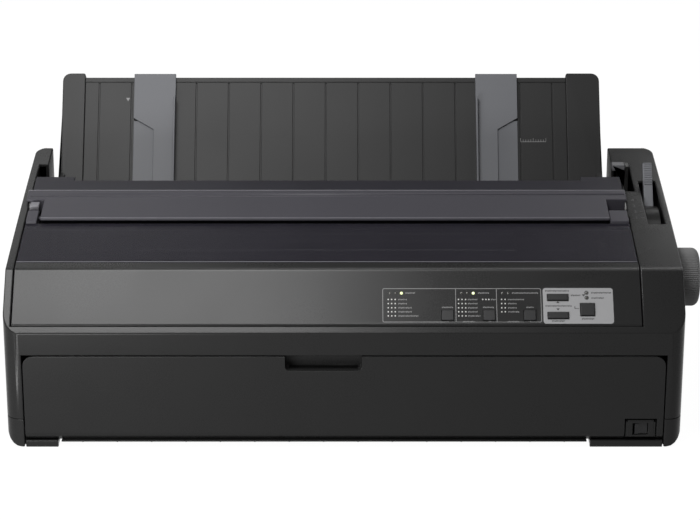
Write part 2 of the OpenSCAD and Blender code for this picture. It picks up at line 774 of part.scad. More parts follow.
module power_switch_housing() {
  color(graphite) home() difference() {
    union() {
      block([switch_x0, switch_x1], [0.6, inner_front_y - gap], [switch_z0, switch_z1]);
      block([switch_x0 + 2 + gap, switch_x1 - 2 - gap], [inner_front_y - gap - 0.1, 34],
            [switch_z0 + 2 + gap, switch_z1 - 2]);
    }
    block([rocker_x0 - gap, rocker_x1 + gap], [0, 12], [rocker_z0 - gap, rocker_z1 + gap]);
    post(rocker_axis, rocker_pin_r + run_gap, rocker_z0 - 3, rocker_z1 + 3);
  }
}

// Rocker with two faces that meet in a shallow valley; it rests tilted to one side
module power_rocker() {
  half = (rocker_x1 - rocker_x0) / 2;
  color(black) home() translate([rocker_axis.x, rocker_axis.y, 0]) {
    rotate([0, 0, rocker_tilt]) translate([0, 0, rocker_z0]) linear_extrude(rocker_z1 - rocker_z0)
      polygon([[-half + 0.8, -6.6], [0, -5.4], [half - 0.8, -6.6], [half - 1.4, -1], [2.5, 2.2], [-2.5, 2.2],
               [-half + 1.4, -1]]);
    translate([0, 0, rocker_z0 - 2]) cylinder(r = rocker_pin_r, h = rocker_z1 - rocker_z0 + 4);
  }
}

// --- sheet guide -------------------------------------------------------------------------

module sheet_guide() {
  color(charcoal) home() on_guide() difference() {
    union() {
      block(guide_panel_x, [guide_panel_y, guide_rear_y], [0, panel_top_v]);
      // Lip along the top edge
      block(guide_panel_x, [guide_panel_y - 0.8, guide_rear_y], [panel_top_v - 5, panel_top_v]);
      // Stiffening ribs at the rear
      for (z = guide_rib_v) block(guide_panel_x, span(guide_rear_y, [-0.1, 4]), [z, z + 3]);
    }
    for (i = [-7:7]) block([paper_x + i * groove_pitch - 0.6, paper_x + i * groove_pitch + 0.6],
      [guide_panel_y - 0.1, guide_panel_y + 1], [-1, panel_top_v - 6]);
  }
}

module guide_cap(x0, x1) difference() {
  along_y(0, cap_t) polygon(rounded([
    [x0, 0, 0], [x1, 0, 0], [x1, guide_len, x1 > 0 ? 8 : 2], [x0, guide_len, x0 < 0 ? 8 : 2]]));
  block([x0 + 3, x1 - 3], [guide_panel_y + 2, cap_t + 1], [3, guide_len - 8]);
}

// Place in Y and Z of a point in the sheet guide's plane
function guide_point(y, z) = guide_foot + turned([y, z], -guide_lean);

module sheet_guide_caps() {
  color(charcoal) home() {
    on_guide() {
      guide_cap(guide_x0, guide_x0 + left_cap_w);
      guide_cap(guide_x1 - right_cap_w, guide_x1);
    }
    // Arms down to the pins in the horns
    for (x = [guide_x0, guide_x1 - guide_arm_w]) {
      along_x(x, x + guide_arm_w) polygon([
        guide_point(1, 22), guide_point(cap_t, 18), guide_point(cap_t, 0), guide_axis + [4, -5.5],
        guide_axis + [-4, -5.5], guide_axis + [-5.5, 4]]);
      rod(guide_axis, guide_arm_r, x, x + guide_arm_w);
    }
    rod(guide_axis, guide_pin_r, horn_left_x - wall, guide_x0 + 1);
    rod(guide_axis, guide_pin_r, guide_x1 - 1, horn_right_x + wall);
  }
}

// Edge guide seen from the front, with its fence on the side towards the paper
module edge_guide(x0, fence) {
  x1 = x0 + edge_guide_w;
  inner = fence > 0 ? x1 : x0;
  outer = fence > 0 ? x0 : x1;
  narrow = inner - fence * edge_narrow_w;
  face_y = guide_panel_y - gap;
  color(gray) home() on_guide() {
    // Front plate, narrower in its lower half
    along_y(face_y - 0.8 - edge_t, face_y - 0.8) polygon([
      [inner, 8], [inner, edge_top_v], [outer, edge_top_v], [outer, edge_narrow_v[1]],
      [narrow, edge_narrow_v[0]], [narrow, 8]]);
    // Recessed plate beside the lower half
    along_y(face_y - 1.4, face_y) polygon([[narrow, 10], [outer, 10], [outer, 76], [narrow, 76]]);
    // Fence towards the paper
    translate([inner - (fence > 0 ? 2 : 0), 0, 0])
      block([0, 2], span(face_y, [-fence_h, -0.7 - edge_t]), [8, edge_top_v - 26]);
    // Hook over the guide's top edge
    block([x0 + 2, x1 - 2], [face_y - 0.9, guide_rear_y + gap + 2], [panel_top_v + gap, edge_top_v]);
    block([x0 + 2, x1 - 2], span(guide_rear_y + gap, [0, 2]), [panel_top_v - 12, edge_top_v]);
  }
}

module left_edge_guide() edge_guide(edge_left_x, 1);
module right_edge_guide() edge_guide(edge_right_x, -1);

// --- platen and gears --------------------------------------------------------------------

module platen_knob() {
  color(graphite) home() translate([0, platen.x, platen.y]) {
    intersection() {
      translate([knob_x0, 0, 0]) rotate([0, 90, 0]) rotate_extrude($fn = 72)
        polygon(concat([[0, 0], [knob_r - 1, 0], [knob_r, 1]],
          [for (a = [0:15:90]) [knob_r, knob_x1 - knob_x0] + knob_edge_r * [cos(a) - 1, sin(a) - 1]],
          [[8, knob_x1 - knob_x0], [7, knob_x1 - knob_x0 - 1.5], [0, knob_x1 - knob_x0 - 1.5]]));
      along_x(knob_x0 - 1, knob_x1 + 1) polygon([for (i = [0:2 * knob_flutes - 1])
        (knob_r + 0.2 - 0.9 * (i % 2)) * [cos(i * 180 / knob_flutes), sin(i * 180 / knob_flutes)]]);
    }
  }
}

module platen_shaft() {
  color(steel) home() rod(platen, shaft_r, frame_left_x - 4, knob_x0);
}

module platen_roller() {
  color(black) home() difference() {
    rod(platen, platen_r, platen_x0, platen_x1);
    rod(platen, shaft_r + press_gap, platen_x0 - 1, platen_x1 + 1);
  }
}

module gear(p, n, phase, bore_r) color(nylon) home() difference() {
  translate([0, p.x, p.y]) along_x(gear_x0, gear_x0 + gear_w) polygon(gear_points(n, phase));
  rod(p, bore_r, gear_x0 - 1, gear_x0 + gear_w + 1);
}

module platen_gear() gear(platen, platen_teeth, platen_phase, shaft_r + press_gap);
module front_idler_gear() gear(front_idler, idler_teeth, front_idler_phase, axle_r + run_gap);
module rear_idler_gear() gear(rear_idler, idler_teeth, rear_idler_phase, axle_r + run_gap);
module tractor_gear() gear(tractor, tractor_teeth, tractor_phase, shaft_end_r + press_gap);

module feed_pinion() {
  gear(pinion, pinion_teeth, pinion_phase, motor_shaft_r);
  color(steel) home() rod(pinion, motor_shaft_r, frame_right_x - 12, gear_x0 + gear_w);
}

module feed_motor() {
  color(steel) home() difference() {
    union() {
      rod(pinion, motor_r, frame_right_x - 32, frame_right_x);
      block([frame_right_x - 3, frame_right_x], [pinion.x - 27, pinion.x + 27], [pinion.y - 8, pinion.y + 8]);
    }
    rod(pinion, motor_shaft_r + run_gap, frame_right_x - 13, frame_right_x + 1);
  }
}

// --- tractor -----------------------------------------------------------------------------

module tractor_drive_shaft() {
  color(steel) home() {
    rod(tractor, shaft_end_r, frame_left_x - 4, gear_x0 + gear_w + 1);
    translate([0, tractor.x, tractor.y])
      along_x(frame_left_x + 4, frame_right_x - 4) square(square_shaft, center = true);
  }
}

module tractor_support_shaft() {
  color(steel) home() rod(support_shaft, support_r, frame_left_x, frame_right_x + steel_t);
}

module tractor_bodies() {
  color(nylon) home() for (x = tractor_x) difference() {
    union() {
      block([x - tractor_w / 2, x + tractor_w / 2], span(tractor.x, [-26, 24]), span(tractor.y, [-13, 8]));
      for (side = [-1, 1]) translate([x + side * (tractor_w / 2 - 1), 0, 0]) along_x(-1, 1)
        translate(flap_axis) polygon([[-4, -8], [3, -8], [3, 3], [-4, 3]]);
    }
    block([x - 6, x + 6], span(tractor.x, [-17, 17]), span(tractor.y, [-17, 20]));
    rod(tractor, square_shaft * 0.75, x - tractor_w, x + tractor_w);
    rod(support_shaft, support_r + press_gap, x - tractor_w, x + tractor_w);
    rod(flap_axis, flap_pin_r + run_gap, x - tractor_w, x + tractor_w);
  }
}

module tractor_wheels() {
  color(graphite) home() for (x = tractor_x) difference() {
    union() {
      rod(tractor, wheel_r, x - 5, x + 5);
      for (i = [0:sprocket_pins - 1]) translate([x, tractor.x, tractor.y])
        rotate([i * 360 / sprocket_pins, 0, 0]) post([0, 0], 1.9, wheel_r - 1, wheel_r + 3.2);
    }
    translate([0, tractor.x, tractor.y]) along_x(x - 6, x + 6) square(square_shaft, center = true);
  }
}

module tractor_flap(x) {
  half = tractor_w / 2 - 2 - gap;
  color(graphite) home() {
    difference() {
      union() {
        block([x - half, x + half], [tractor.x - 25, flap_axis.x - 2], span(tractor.y, [11.6, 13.6]));
        rod(flap_axis, 2.2, x - half, x + half);
        block([x - half, x + half], [flap_axis.x - 2.2, flap_axis.x], span(tractor.y, [11.6, 13.6]));
      }
      block([x - 3, x + 3], span(tractor.x, [-18, 14]), span(tractor.y, [5, 20]));
    }
    rod(flap_axis, flap_pin_r, x - tractor_w / 2, x + tractor_w / 2);
  }
}

module left_tractor_flap() tractor_flap(tractor_x[0]);
module right_tractor_flap() tractor_flap(tractor_x[1]);

// --- frame -------------------------------------------------------------------------------

// Side sheet with the holes that both sides share
module side_sheet(x) difference() {
  along_x(x, x + steel_t) polygon(rounded([
    [38, base_z + steel_t, 0], [side_rear_y, base_z + steel_t, 0], [side_rear_y, 132, 8], [200, 145, 8],
    [130, 152, 8], [100, 152, 6], [52, 116, 6], [38, 112, 6]]));
  rod(platen, shaft_r + run_gap, x - 1, x + steel_t + 1);
  rod(tractor, shaft_end_r + run_gap, x - 1, x + steel_t + 1);
  rod(rail_axis, rail_r + press_gap, x - 1, x + steel_t + 1);
  rod(support_shaft, support_r + press_gap, x - 1, x + steel_t + 1);
}

module left_side_frame() {
  color(steel) home() {
    side_sheet(frame_left_x);
    // Ledge for the carriage motor
    difference() {
      block([frame_left_x + steel_t, motor_x + 24], [belt_y - 24, belt_y + 20], [ledge_z, ledge_z + steel_t]);
      post([motor_x, belt_y], 4, ledge_z - 1, ledge_z + steel_t + 1);
    }
  }
}

module right_side_frame() {
  color(steel) home() {
    difference() {
      side_sheet(frame_right_x);
      rod(pinion, 6, frame_right_x - 1, frame_right_x + steel_t + 1);
    }
    // Axles of the idler gears
    for (p = [front_idler, rear_idler]) rod(p, axle_r, frame_right_x + steel_t - 0.1, gear_x0 + gear_w + 1);
    // Ledge and pin for the idler pulley
    block([idler_pulley_x - 16, frame_right_x], [belt_y - 14, belt_y + 14], [ledge_z, ledge_z + steel_t]);
    post([idler_pulley_x, belt_y], 2.5, ledge_z + steel_t - 0.1, belt_z + belt_h + 2);
  }
}

module base_frame() {
  color(steel) home() difference() {
    block([frame_left_x, frame_right_x + steel_t], [38, base_rear_y], [base_z, base_z + steel_t]);
    for (x = [-150, 0, 150]) block(span(x, [-30, 30]), [70, 130], [base_z - 1, base_z + steel_t + 1]);
  }
}

module carriage_shaft() {
  color("#c9ccd0") home() rod(rail_axis, rail_r, frame_left_x, frame_right_x + steel_t);
}

module carriage_rail() {
  color(steel) home() block([frame_left_x + steel_t, frame_right_x], [cross_rail_y0, cross_rail_y1],
                            [cross_rail_z0, cross_rail_z1]);
}

// --- carriage ----------------------------------------------------------------------------

module print_carriage() {
  x0 = carriage_x - carriage_w / 2;
  x1 = carriage_x + carriage_w / 2;
  color(black) home() {
    difference() {
      union() {
        block([x0, x1], [48, 86], [cross_rail_z1 + gap, 108]);
        block([x0 + 8, x1 - 8], [86 - 0.1, 88], [cross_rail_z1 + gap, 100]);
      }
      rod(rail_axis, rail_r + run_gap, x0 - 1, x1 + 1);
    }
    // Clamp on the front run of the belt
    block([carriage_x - 10, carriage_x + 10], [48, belt_y - pulley_r - belt_t - gap],
          [belt_z, cross_rail_z1 + gap + 0.1]);
  }
}

module print_head() {
  color("#4a4b50") home() {
    block([carriage_x - 16, carriage_x + 16], [54, 80], [108, 136]);
    for (i = [0:5]) block([carriage_x - 20, carriage_x + 20], [56 + i * 4, 57.6 + i * 4], [110, 140]);
    translate([carriage_x, 0, platen_z]) rotate([-90, 0, 0]) translate([0, 0, 79]) cylinder(r = 7, h = 6);
    block([carriage_x - 3, carriage_x + 3], [84, platen_y - platen_r - 1.6], [platen_z - 6, platen_z + 6]);
  }
}

module ribbon_cartridge() {
  color(black) home() {
    block([cartridge_x0, cartridge_x1], [14, 44], cartridge_z);
    // Arms that reach over the carriage shaft to the platen
    for (x = [cartridge_x0, cartridge_x1 - cartridge_arm_w]) {
      block([x, x + cartridge_arm_w], [30, 44], [cartridge_z[1] - 0.1, cartridge_arm_z + 1]);
      block([x, x + cartridge_arm_w], [30, ribbon_y], span(cartridge_arm_z, [0, cartridge_arm_t]));
    }
    // Ribbon between its two guides, in front of the platen
    for (x = ribbon_x) {
      block([x - 2, x + 2], [ribbon_y - 4, ribbon_y - 0.4],
            [cartridge_arm_z + cartridge_arm_t - 0.1, platen_z + 7]);
      block([x - 2, x + 2], [ribbon_y - 0.5, ribbon_y + 0.1], span(platen_z, [-ribbon_h / 2, ribbon_h / 2]));
    }
    block(ribbon_x, [ribbon_y - 0.2, ribbon_y + 0.1], span(platen_z, [-ribbon_h / 2, ribbon_h / 2]));
    // Feet down to the side frames' front
    for (x = [cartridge_x0, cartridge_x1 - 4]) block([x, x + 4], [20, 34], [base_z + steel_t + 60, 90.1]);
  }
}

module belt_loop(r) {
  translate([motor_x, belt_y - r]) square([idler_pulley_x - motor_x, 2 * r]);
  for (x = [motor_x, idler_pulley_x]) translate([x, belt_y]) circle(r);
}

module carriage_belt() {
  color(black) home() translate([0, 0, belt_z]) linear_extrude(belt_h) difference() {
    belt_loop(pulley_r + belt_t);
    belt_loop(pulley_r);
  }
}

module pulley(x, bore_r) home() difference() {
  union() {
    post([x, belt_y], pulley_r - run_gap, belt_z, belt_z + belt_h);
    post([x, belt_y], pulley_r + 1.6, belt_z - 1.5, belt_z - gap);
    post([x, belt_y], pulley_r - run_gap, belt_z - 1, belt_z + 1);
  }
  post([x, belt_y], bore_r, belt_z - 3, belt_z + belt_h + 1);
}

module drive_pulley() {
  color(nylon) pulley(motor_x, motor_shaft_r);
  color(steel) home() post([motor_x, belt_y], motor_shaft_r, ledge_z - 10, belt_z + belt_h);
}

module idler_pulley() { color(nylon) pulley(idler_pulley_x, 2.5 + run_gap); }

module carriage_motor() {
  color(steel) home() difference() {
    union() {
      post([motor_x, belt_y], 21, ledge_z - 40, ledge_z);
      post([motor_x, belt_y], 8, ledge_z - 44, ledge_z - 39);
    }
    post([motor_x, belt_y], motor_shaft_r + run_gap, ledge_z - 11, ledge_z + 1);
  }
}

// --- levers ------------------------------------------------------------------------------

module thickness_lever() {
  color(gray) home() translate([0, lever_axis.x, lever_axis.y]) rotate([lever_a, 0, 0]) difference() {
    union() {
      // Drum sector that closes the slot below the deck
      along_x(drum_x0, drum_x1) difference() {
        circle(drum_r, $fn = 96);
        circle(drum_r - drum_t, $fn = 96);
        polygon([[0, 0], 2 * drum_r * [cos(95), sin(95)], 2 * drum_r * [-1, 0.3], 2 * drum_r * [-1, -1],
                 2 * drum_r * [1, -1], 2 * drum_r * [cos(-22), sin(-22)]]);
      }
      along_x(lever_x0, lever_x1) polygon([
        [2, -4], [lever_reach - 2, -3], [lever_reach, -1.5], [lever_reach, 2], [lever_reach - 2, 3.5],
        [2, 4]]);
      rod([0, 0], 8, lever_x0, lever_x1);
    }
    rod([0, 0], axle_r + run_gap, drum_x0 - 1, drum_x1 + 1);
  }
}

module release_lever() {
  color(gray) home() difference() {
    union() {
      along_x(release_x0, release_x1) polygon([
        release_axis + [-6, 0], release_axis + [6, -2], [release_top.x + 5, release_top.y - 18],
        release_top + [5, 4], release_top + [-6, 3], [release_top.x - 6, release_top.y - 18]]);
      rod(release_axis, 8, release_x0, release_x1);
      // Finger tab, bent to the left
      block([release_x0 - release_tab, release_x0 + 1], span(release_top.x, [-6, 5]),
            span(release_top.y, [-1.5, 4.5]));
    }
    rod(release_axis, axle_r + run_gap, release_x0 - 1, release_x1 + 1);
  }
}

module lever_bracket() {
  color(steel) home() {
    along_x(bracket_x0, bracket_x0 + 2) polygon([
      [lever_axis.x - 21.6, release_axis.y - 20], release_axis + [40, -20], release_axis + [40, 40],
      lever_axis + [20.4, 15.5], lever_axis + [-19.6, 15.5]]);
    rod(lever_axis, axle_r, drum_x0, bracket_x0 + 0.1);
    rod(release_axis, axle_r, release_x0 - 1, bracket_x0 + 0.1);
  }
}

// --- electronics -------------------------------------------------------------------------

module main_circuit_board() {
  color("#2f6b45") home() {
    block([-90, 205], [150, board_rear_y], [board_z, board_z + 1.6]);
    for (x = [-84, 60, 199], y = [156, board_rear_y - 6]) post([x, y], 4, base_z + steel_t, board_z + 0.1);
    // Chips and connectors: place, then width, depth and height
    for (c = [[-60, 175, 28, 28, 3], [0, 175, 40, 40, 3], [70, 170, 16, 8, 4], [70, 190, 16, 8, 4],
              [110, 170, 60, 12, 20], [-60, 230, 50, 14, 8], [20, 240, 12, 30, 6]])
      block([c[0], c[0] + c[2]], [c[1], c[1] + c[3]], span(board_z + 1.5, [0, c[4]]));
    for (x = [-70, -50, -30]) post([x, 262], 7, board_z + 1.5, board_z + 22);
  }
}

module power_supply() {
  color(steel) home() difference() {
    block(supply_x, supply_y, [base_z + steel_t, supply_top]);
    block(supply_x + [steel_t, -steel_t], supply_y + [steel_t, -steel_t],
          [base_z + 2 * steel_t, supply_top - steel_t]);
    for (i = [0:9])
      block(span(supply_x[0] + 12 * (i + 1), [0, 6]), supply_y + [15, -16], span(supply_top, [-8, 2]));
  }
}

module power_inlet() {
  color(black) home() difference() {
    union() {
      block(inlet_x + [gap, -gap], [body_d - 16, body_d + 0.5], inlet_z + [gap, -gap]);
      block(inlet_x + [-2, 2], [body_d - wall - 3, body_d - wall], inlet_z + [-2, 2]);
    }
    block(inlet_x + [4, -4], [body_d - 14, body_d + 1], inlet_z + [4, -4]);
  }
  color(steel) home() for (x = [-222, -216, -210])
    block([x - 1, x + 1], [body_d - 14.1, body_d - 4], span(inlet_z[0], [9, 15]));
}

module interface_sockets() {
  color(steel) home() {
    for (s = sockets) difference() {
      block([s[0], s[1]], [body_d - 18, body_d + 0.5], [board_z + 1.6, s[2]]);
      block([s[0] + 2, s[1] - 2], [body_d - 8, body_d + 1], [board_z + 3.6, s[2] - 2]);
    }
  }
}

// --- assembly ----------------------------------------------------------------------------

lower_case();
upper_case();
rubber_feet();
control_panel_cover();
control_panel_label();
control_circuit_board();
font_button();
pitch_button();
tear_off_button();
load_eject_button();
line_feed_button();
pause_button();
indicator_lights();
paper_exit_cover();
rear_smoked_strip();
window_flap();
front_door();
front_paper_guide();
rear_paper_guide();
power_switch_housing();
power_rocker();
sheet_guide();
sheet_guide_caps();
left_edge_guide();
right_edge_guide();
platen_knob();
platen_shaft();
platen_roller();
platen_gear();
front_idler_gear();
rear_idler_gear();
tractor_gear();
feed_motor();
feed_pinion();
tractor_drive_shaft();
tractor_support_shaft();
tractor_bodies();
left_tractor_flap();
right_tractor_flap();
tractor_wheels();
left_side_frame();
right_side_frame();
base_frame();
carriage_shaft();
carriage_rail();
print_carriage();
print_head();
ribbon_cartridge();
carriage_belt();
drive_pulley();
idler_pulley();
carriage_motor();
thickness_lever();
release_lever();
lever_bracket();
main_circuit_board();
power_supply();
power_inlet();
interface_sockets();
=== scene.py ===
"""Looks of a wide dot matrix printer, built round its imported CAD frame.

Lengths in the sub-assemblies are in millimetres of a plane. The body's has X across from
the middle of the case, Y back from its front face and Z up from the desk.
"""

from __future__ import annotations

import logging
import math
from dataclasses import dataclass, field
from enum import Enum
from typing import Any, Callable, Iterable, Sequence

import bmesh
import bpy
from mathutils import Matrix, Vector


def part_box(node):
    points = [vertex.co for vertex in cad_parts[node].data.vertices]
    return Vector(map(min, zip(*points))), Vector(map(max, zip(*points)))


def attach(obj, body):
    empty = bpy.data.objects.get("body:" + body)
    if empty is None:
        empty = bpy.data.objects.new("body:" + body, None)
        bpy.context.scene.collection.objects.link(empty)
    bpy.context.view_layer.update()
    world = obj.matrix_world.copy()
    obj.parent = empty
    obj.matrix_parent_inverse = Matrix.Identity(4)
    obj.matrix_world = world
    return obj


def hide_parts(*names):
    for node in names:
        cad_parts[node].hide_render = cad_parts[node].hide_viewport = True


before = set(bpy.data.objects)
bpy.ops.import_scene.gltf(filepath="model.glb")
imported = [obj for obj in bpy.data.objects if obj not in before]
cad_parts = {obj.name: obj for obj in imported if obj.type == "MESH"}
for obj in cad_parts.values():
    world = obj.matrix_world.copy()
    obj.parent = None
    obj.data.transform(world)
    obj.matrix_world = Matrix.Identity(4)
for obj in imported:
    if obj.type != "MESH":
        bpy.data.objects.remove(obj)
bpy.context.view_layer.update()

log = logging.getLogger("printer")

Colour = tuple[float, float, float]
Pair = tuple[float, float]
Span = tuple[float, float, float]
Quad = tuple[float, float, float, float]


# --- places ---

MM = 0.001
# Y and Z of the panel's lower edge, and of the crease between panel and top
LIP = (0.0, 112.0)
CREASE = (43.0, 159.0)
TOP_LENGTH = 249.0
TOP_RISE = 39.7
TOP_CROWN = 7.6
# Y and Z where each turned plane starts, and its turn about X
TURNED_PLANES = {
    "panel": (LIP, math.atan((CREASE[1] - LIP[1]) / (CREASE[0] - LIP[0]))),
    "guide": ((296.0, 151.5), math.radians(-33.3)),
    "lever": ((169.6, 129.5), math.radians(54)),
}


class Plane(Enum):
    """The planes that pieces are measured in."""

    BODY = "body"
    PANEL = "panel"
    GUIDE = "guide"
    LEVER = "lever"

    @property
    def matrix(self) -> Matrix:
        """Matrix from millimetres of the plane to metres of the frame."""
        low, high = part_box("lower_case")
        home = Matrix.Translation(((low.x + high.x) / 2, low.y, 0)) @ Matrix.Scale(MM, 4)
        if self is Plane.BODY:
            return home
        start, turn = TURNED_PLANES[self.value]
        return home @ Matrix.Translation((0, *start)) @ Matrix.Rotation(turn, 4, "X")


def top_height(y: float) -> float:
    """Height of the case's crowned top at the depth y."""
    u = (y - CREASE[0]) / TOP_LENGTH
    return CREASE[1] + TOP_RISE * u + TOP_CROWN * u * (1 - u)


# --- shader building ---


class Value:
    """A shader socket that takes part in arithmetic."""

    def __init__(self, tree: Tree, socket: bpy.types.NodeSocket) -> None:
        """Keeps the tree that new Math nodes go into, and the socket."""
        self.tree = tree
        self.socket = socket

    def _math(self, operation: str, first: Any, second: Any) -> Value:
        """One Math node on two values or numbers."""
        node = self.tree.add("ShaderNodeMath", {"operation": operation}, {0: first, 1: second})
        return Value(self.tree, node.outputs[0])

    def __add__(self, other: Any) -> Value:
        """Sum."""
        return self._math("ADD", self, other)

    def __sub__(self, other: Any) -> Value:
        """Difference."""
        return self._math("SUBTRACT", self, other)

    def __rsub__(self, other: Any) -> Value:
        """Difference from a number."""
        return self._math("SUBTRACT", other, self)

    def __mul__(self, other: Any) -> Value:
        """Product."""
        return self._math("MULTIPLY", self, other)

    def __rmul__(self, other: Any) -> Value:
        """Product with a number on the left."""
        return self._math("MULTIPLY", other, self)

    def above(self, limit: float) -> Value:
        """1 where the value is over the limit, and 0 elsewhere."""
        return self._math("GREATER_THAN", self, limit)

    def larger(self, other: Any) -> Value:
        """The larger of the two values."""
        return self._math("MAXIMUM", self, other)


class Tree:
    """Node tree of a material or world, built from nothing."""

    def __init__(self, holder: bpy.types.ID) -> None:
        """Empties the holder's node tree.

        Args:
            holder: A material or world.
        """
        holder.use_nodes = True
        self.nodes = holder.node_tree.nodes
        self.links = holder.node_tree.links
        self.nodes.clear()

    def add(self, kind: str, settings: dict[str, Any] | None = None,
            inputs: dict[Any, Any] | None = None) -> bpy.types.Node:
        """Adds a node.

        Args:
            kind: The node's type.
            settings: Its settings, set first.
            inputs: Values or links of its sockets, by name or number.

        Returns:
            The node.
        """
        node = self.nodes.new(kind)
        for name, setting in (settings or {}).items():
            setattr(node, name, setting)
        for key, given in (inputs or {}).items():
            source = given.socket if isinstance(given, Value) else given
            if isinstance(source, bpy.types.NodeSocket):
                self.links.new(source, node.inputs[key])
            else:
                node.inputs[key].default_value = source
        return node

    def value(self, kind: str, settings: dict[str, Any] | None = None,
              inputs: dict[Any, Any] | None = None, output: Any = 0) -> Value:
        """Adds a node and returns one of its outputs as a value."""
        return Value(self, self.add(kind, settings, inputs).outputs[output])

    def stretched(self, place: Value, scale: Sequence[float]) -> Value:
        """The place, scaled along each axis."""
        return self.value("ShaderNodeVectorMath", {"operation": "MULTIPLY"}, {0: place, 1: tuple(scale)})

    def noise(self, place: Value, size: float, detail: float = 2, rough: float = 0.5) -> Value:
        """Noise from 0 to 1 whose features are about that many metres across."""
        return self.value("ShaderNodeTexNoise", None,
                          {"Vector": place, "Scale": 1 / size, "Detail": detail, "Roughness": rough}, "Fac")

    def cells(self, place: Value, size: float) -> Value:
        """Distance to the nearest of scattered points that are about that far apart."""
        return self.value("ShaderNodeTexVoronoi", None, {"Vector": place, "Scale": 1 / size}, "Distance")

    def blend(self, share: Any, first: Any, second: Any) -> Value:
        """Colour between two others.

        Args:
            share: Share of the second colour.
            first: Colour or link at share 0.
            second: Colour or link at share 1.

        Returns:
            The mixed colour.
        """
        ready = [(*c, 1) if isinstance(c, tuple) else c for c in (first, second)]
        return self.value("ShaderNodeMix", {"data_type": "RGBA"}, {0: share, 6: ready[0], 7: ready[1]}, 2)

    def relief(self, height: Value, depth: float) -> Value:
        """Bump of the height, where 1 stands for that depth in metres."""
        return self.value("ShaderNodeBump", None, {"Height": height, "Distance": depth, "Strength": 1.0},
                          "Normal")

    def surface(self, inputs: dict[str, Any]) -> bpy.types.Node:
        """Adds the shader and joins it to the output."""
        shader = self.add("ShaderNodeBsdfPrincipled", None, inputs)
        self.add("ShaderNodeOutputMaterial", None, {"Surface": shader.outputs[0]})
        return shader


def scaled(colour: Colour, by: float) -> Colour:
    """The colour, lighter or darker by a factor."""
    return tuple(min(1.0, c * by) for c in colour)


@dataclass(frozen=True)
class Finish:
    """A surface finish that is made into a material once."""

    name: str
    colour: Colour

    def dress(self, tree: Tree, place: Value) -> None:
        """Builds the finish's nodes in the tree, round the object's coordinates in metres."""
        raise NotImplementedError

    def material(self) -> bpy.types.Material:
        """The finish's material."""
        title = f"{self.name}_finish"
        known = bpy.data.materials.get(title)
        if known:
            return known
        made = bpy.data.materials.new(title)
        tree = Tree(made)
        self.dress(tree, tree.value("ShaderNodeTexCoord", output="Object"))
        return made


@dataclass(frozen=True)
class MouldedPlastic(Finish):
    """Moulded plastic with a fine spark-eroded grain.

    The grain is in metres across, and the relief in metres deep. Each polished line runs
    along X through a Y and a Z, and its polish grows by polish_rise per metre to the right.
    """

    roughness: float = 0.42
    specular: float = 0.3
    grain: float = 0.0011
    relief: float = 0.00003
    mottle: float = 0.1
    patch: float = 0.09
    polished: tuple[Pair, ...] = ()
    reach: float = 0.003
    polish_rise: float = 1.4
    polish_middle: float = 0.5
    polish_roughness: float = 0.34

    def _polish(self, tree: Tree, place: Value) -> Value | float:
        """Share of polish: most on the polished lines, and 0 from their reach on."""
        split = tree.add("ShaderNodeSeparateXYZ", None, {0: place})
        share: Value | float = 0.0
        for y, z in self.polished:
            dy, dz = Value(tree, split.outputs["Y"]) - y, Value(tree, split.outputs["Z"]) - z
            near = (1 - (dy * dy + dz * dz) * (1 / self.reach ** 2)).larger(0.0)
            share = near if isinstance(share, float) else share.larger(near)
        return share * (Value(tree, split.outputs["X"]) * self.polish_rise + self.polish_middle).larger(0.0)

    def dress(self, tree: Tree, place: Value) -> None:
        """Grain in the height and the colour, a slow change of gloss, and polish on worn ridges."""
        fine = tree.noise(place, self.grain, 3, 0.6)
        pits = tree.cells(place, self.grain * 1.3)
        slow = tree.noise(place, self.patch, 2)
        shade = slow * 0.6 + fine * 0.4
        colour = tree.blend(shade, scaled(self.colour, 1 - self.mottle), scaled(self.colour, 1 + self.mottle))
        gloss = slow * 0.06 + fine * 0.05 + (self.roughness - 0.055)
        tree.surface({"Base Color": colour, "Roughness": gloss, "Specular IOR Level": self.specular,
                      "Coat Weight": self._polish(tree, place), "Coat Roughness": self.polish_roughness,
                      "Normal": tree.relief(fine * 0.6 + pits * 0.5, self.relief)})


@dataclass(frozen=True)
class SmokedPlastic(Finish):
    """Dark see-through plastic with a satin skin."""

    cover: float = 0.86
    roughness: float = 0.3
    specular: float = 0.3

    def dress(self, tree: Tree, place: Value) -> None:
        """Faint clouds in the smoke and very fine scuffs."""
        clouds = tree.noise(place, 0.05, 2)
        scuffs = tree.noise(tree.stretched(place, (1, 7, 7)), 0.004, 3)
        tree.surface({"Base Color": tree.blend(clouds, scaled(self.colour, 0.85), scaled(self.colour, 1.15)),
                      "Roughness": scuffs * 0.08 + (self.roughness - 0.04),
                      "Alpha": clouds * 0.04 + (self.cover - 0.02),
                      "Specular IOR Level": self.specular,
                      "Normal": tree.relief(scuffs, 0.000006)})


@dataclass(frozen=True)
class Rubber(Finish):
    """Matte rubber with a dusty bloom."""

    def dress(self, tree: Tree, place: Value) -> None:
        """Bloom in patches over a fine tooth."""
        bloom = tree.noise(place, 0.006, 4)
        tooth = tree.noise(place, 0.0006, 2)
        tree.surface({"Base Color": tree.blend(bloom, self.colour, scaled(self.colour, 1.8)),
                      "Roughness": bloom * 0.15 + 0.72, "Specular IOR Level": 0.3,
                      "Normal": tree.relief(tooth, 0.00003)})


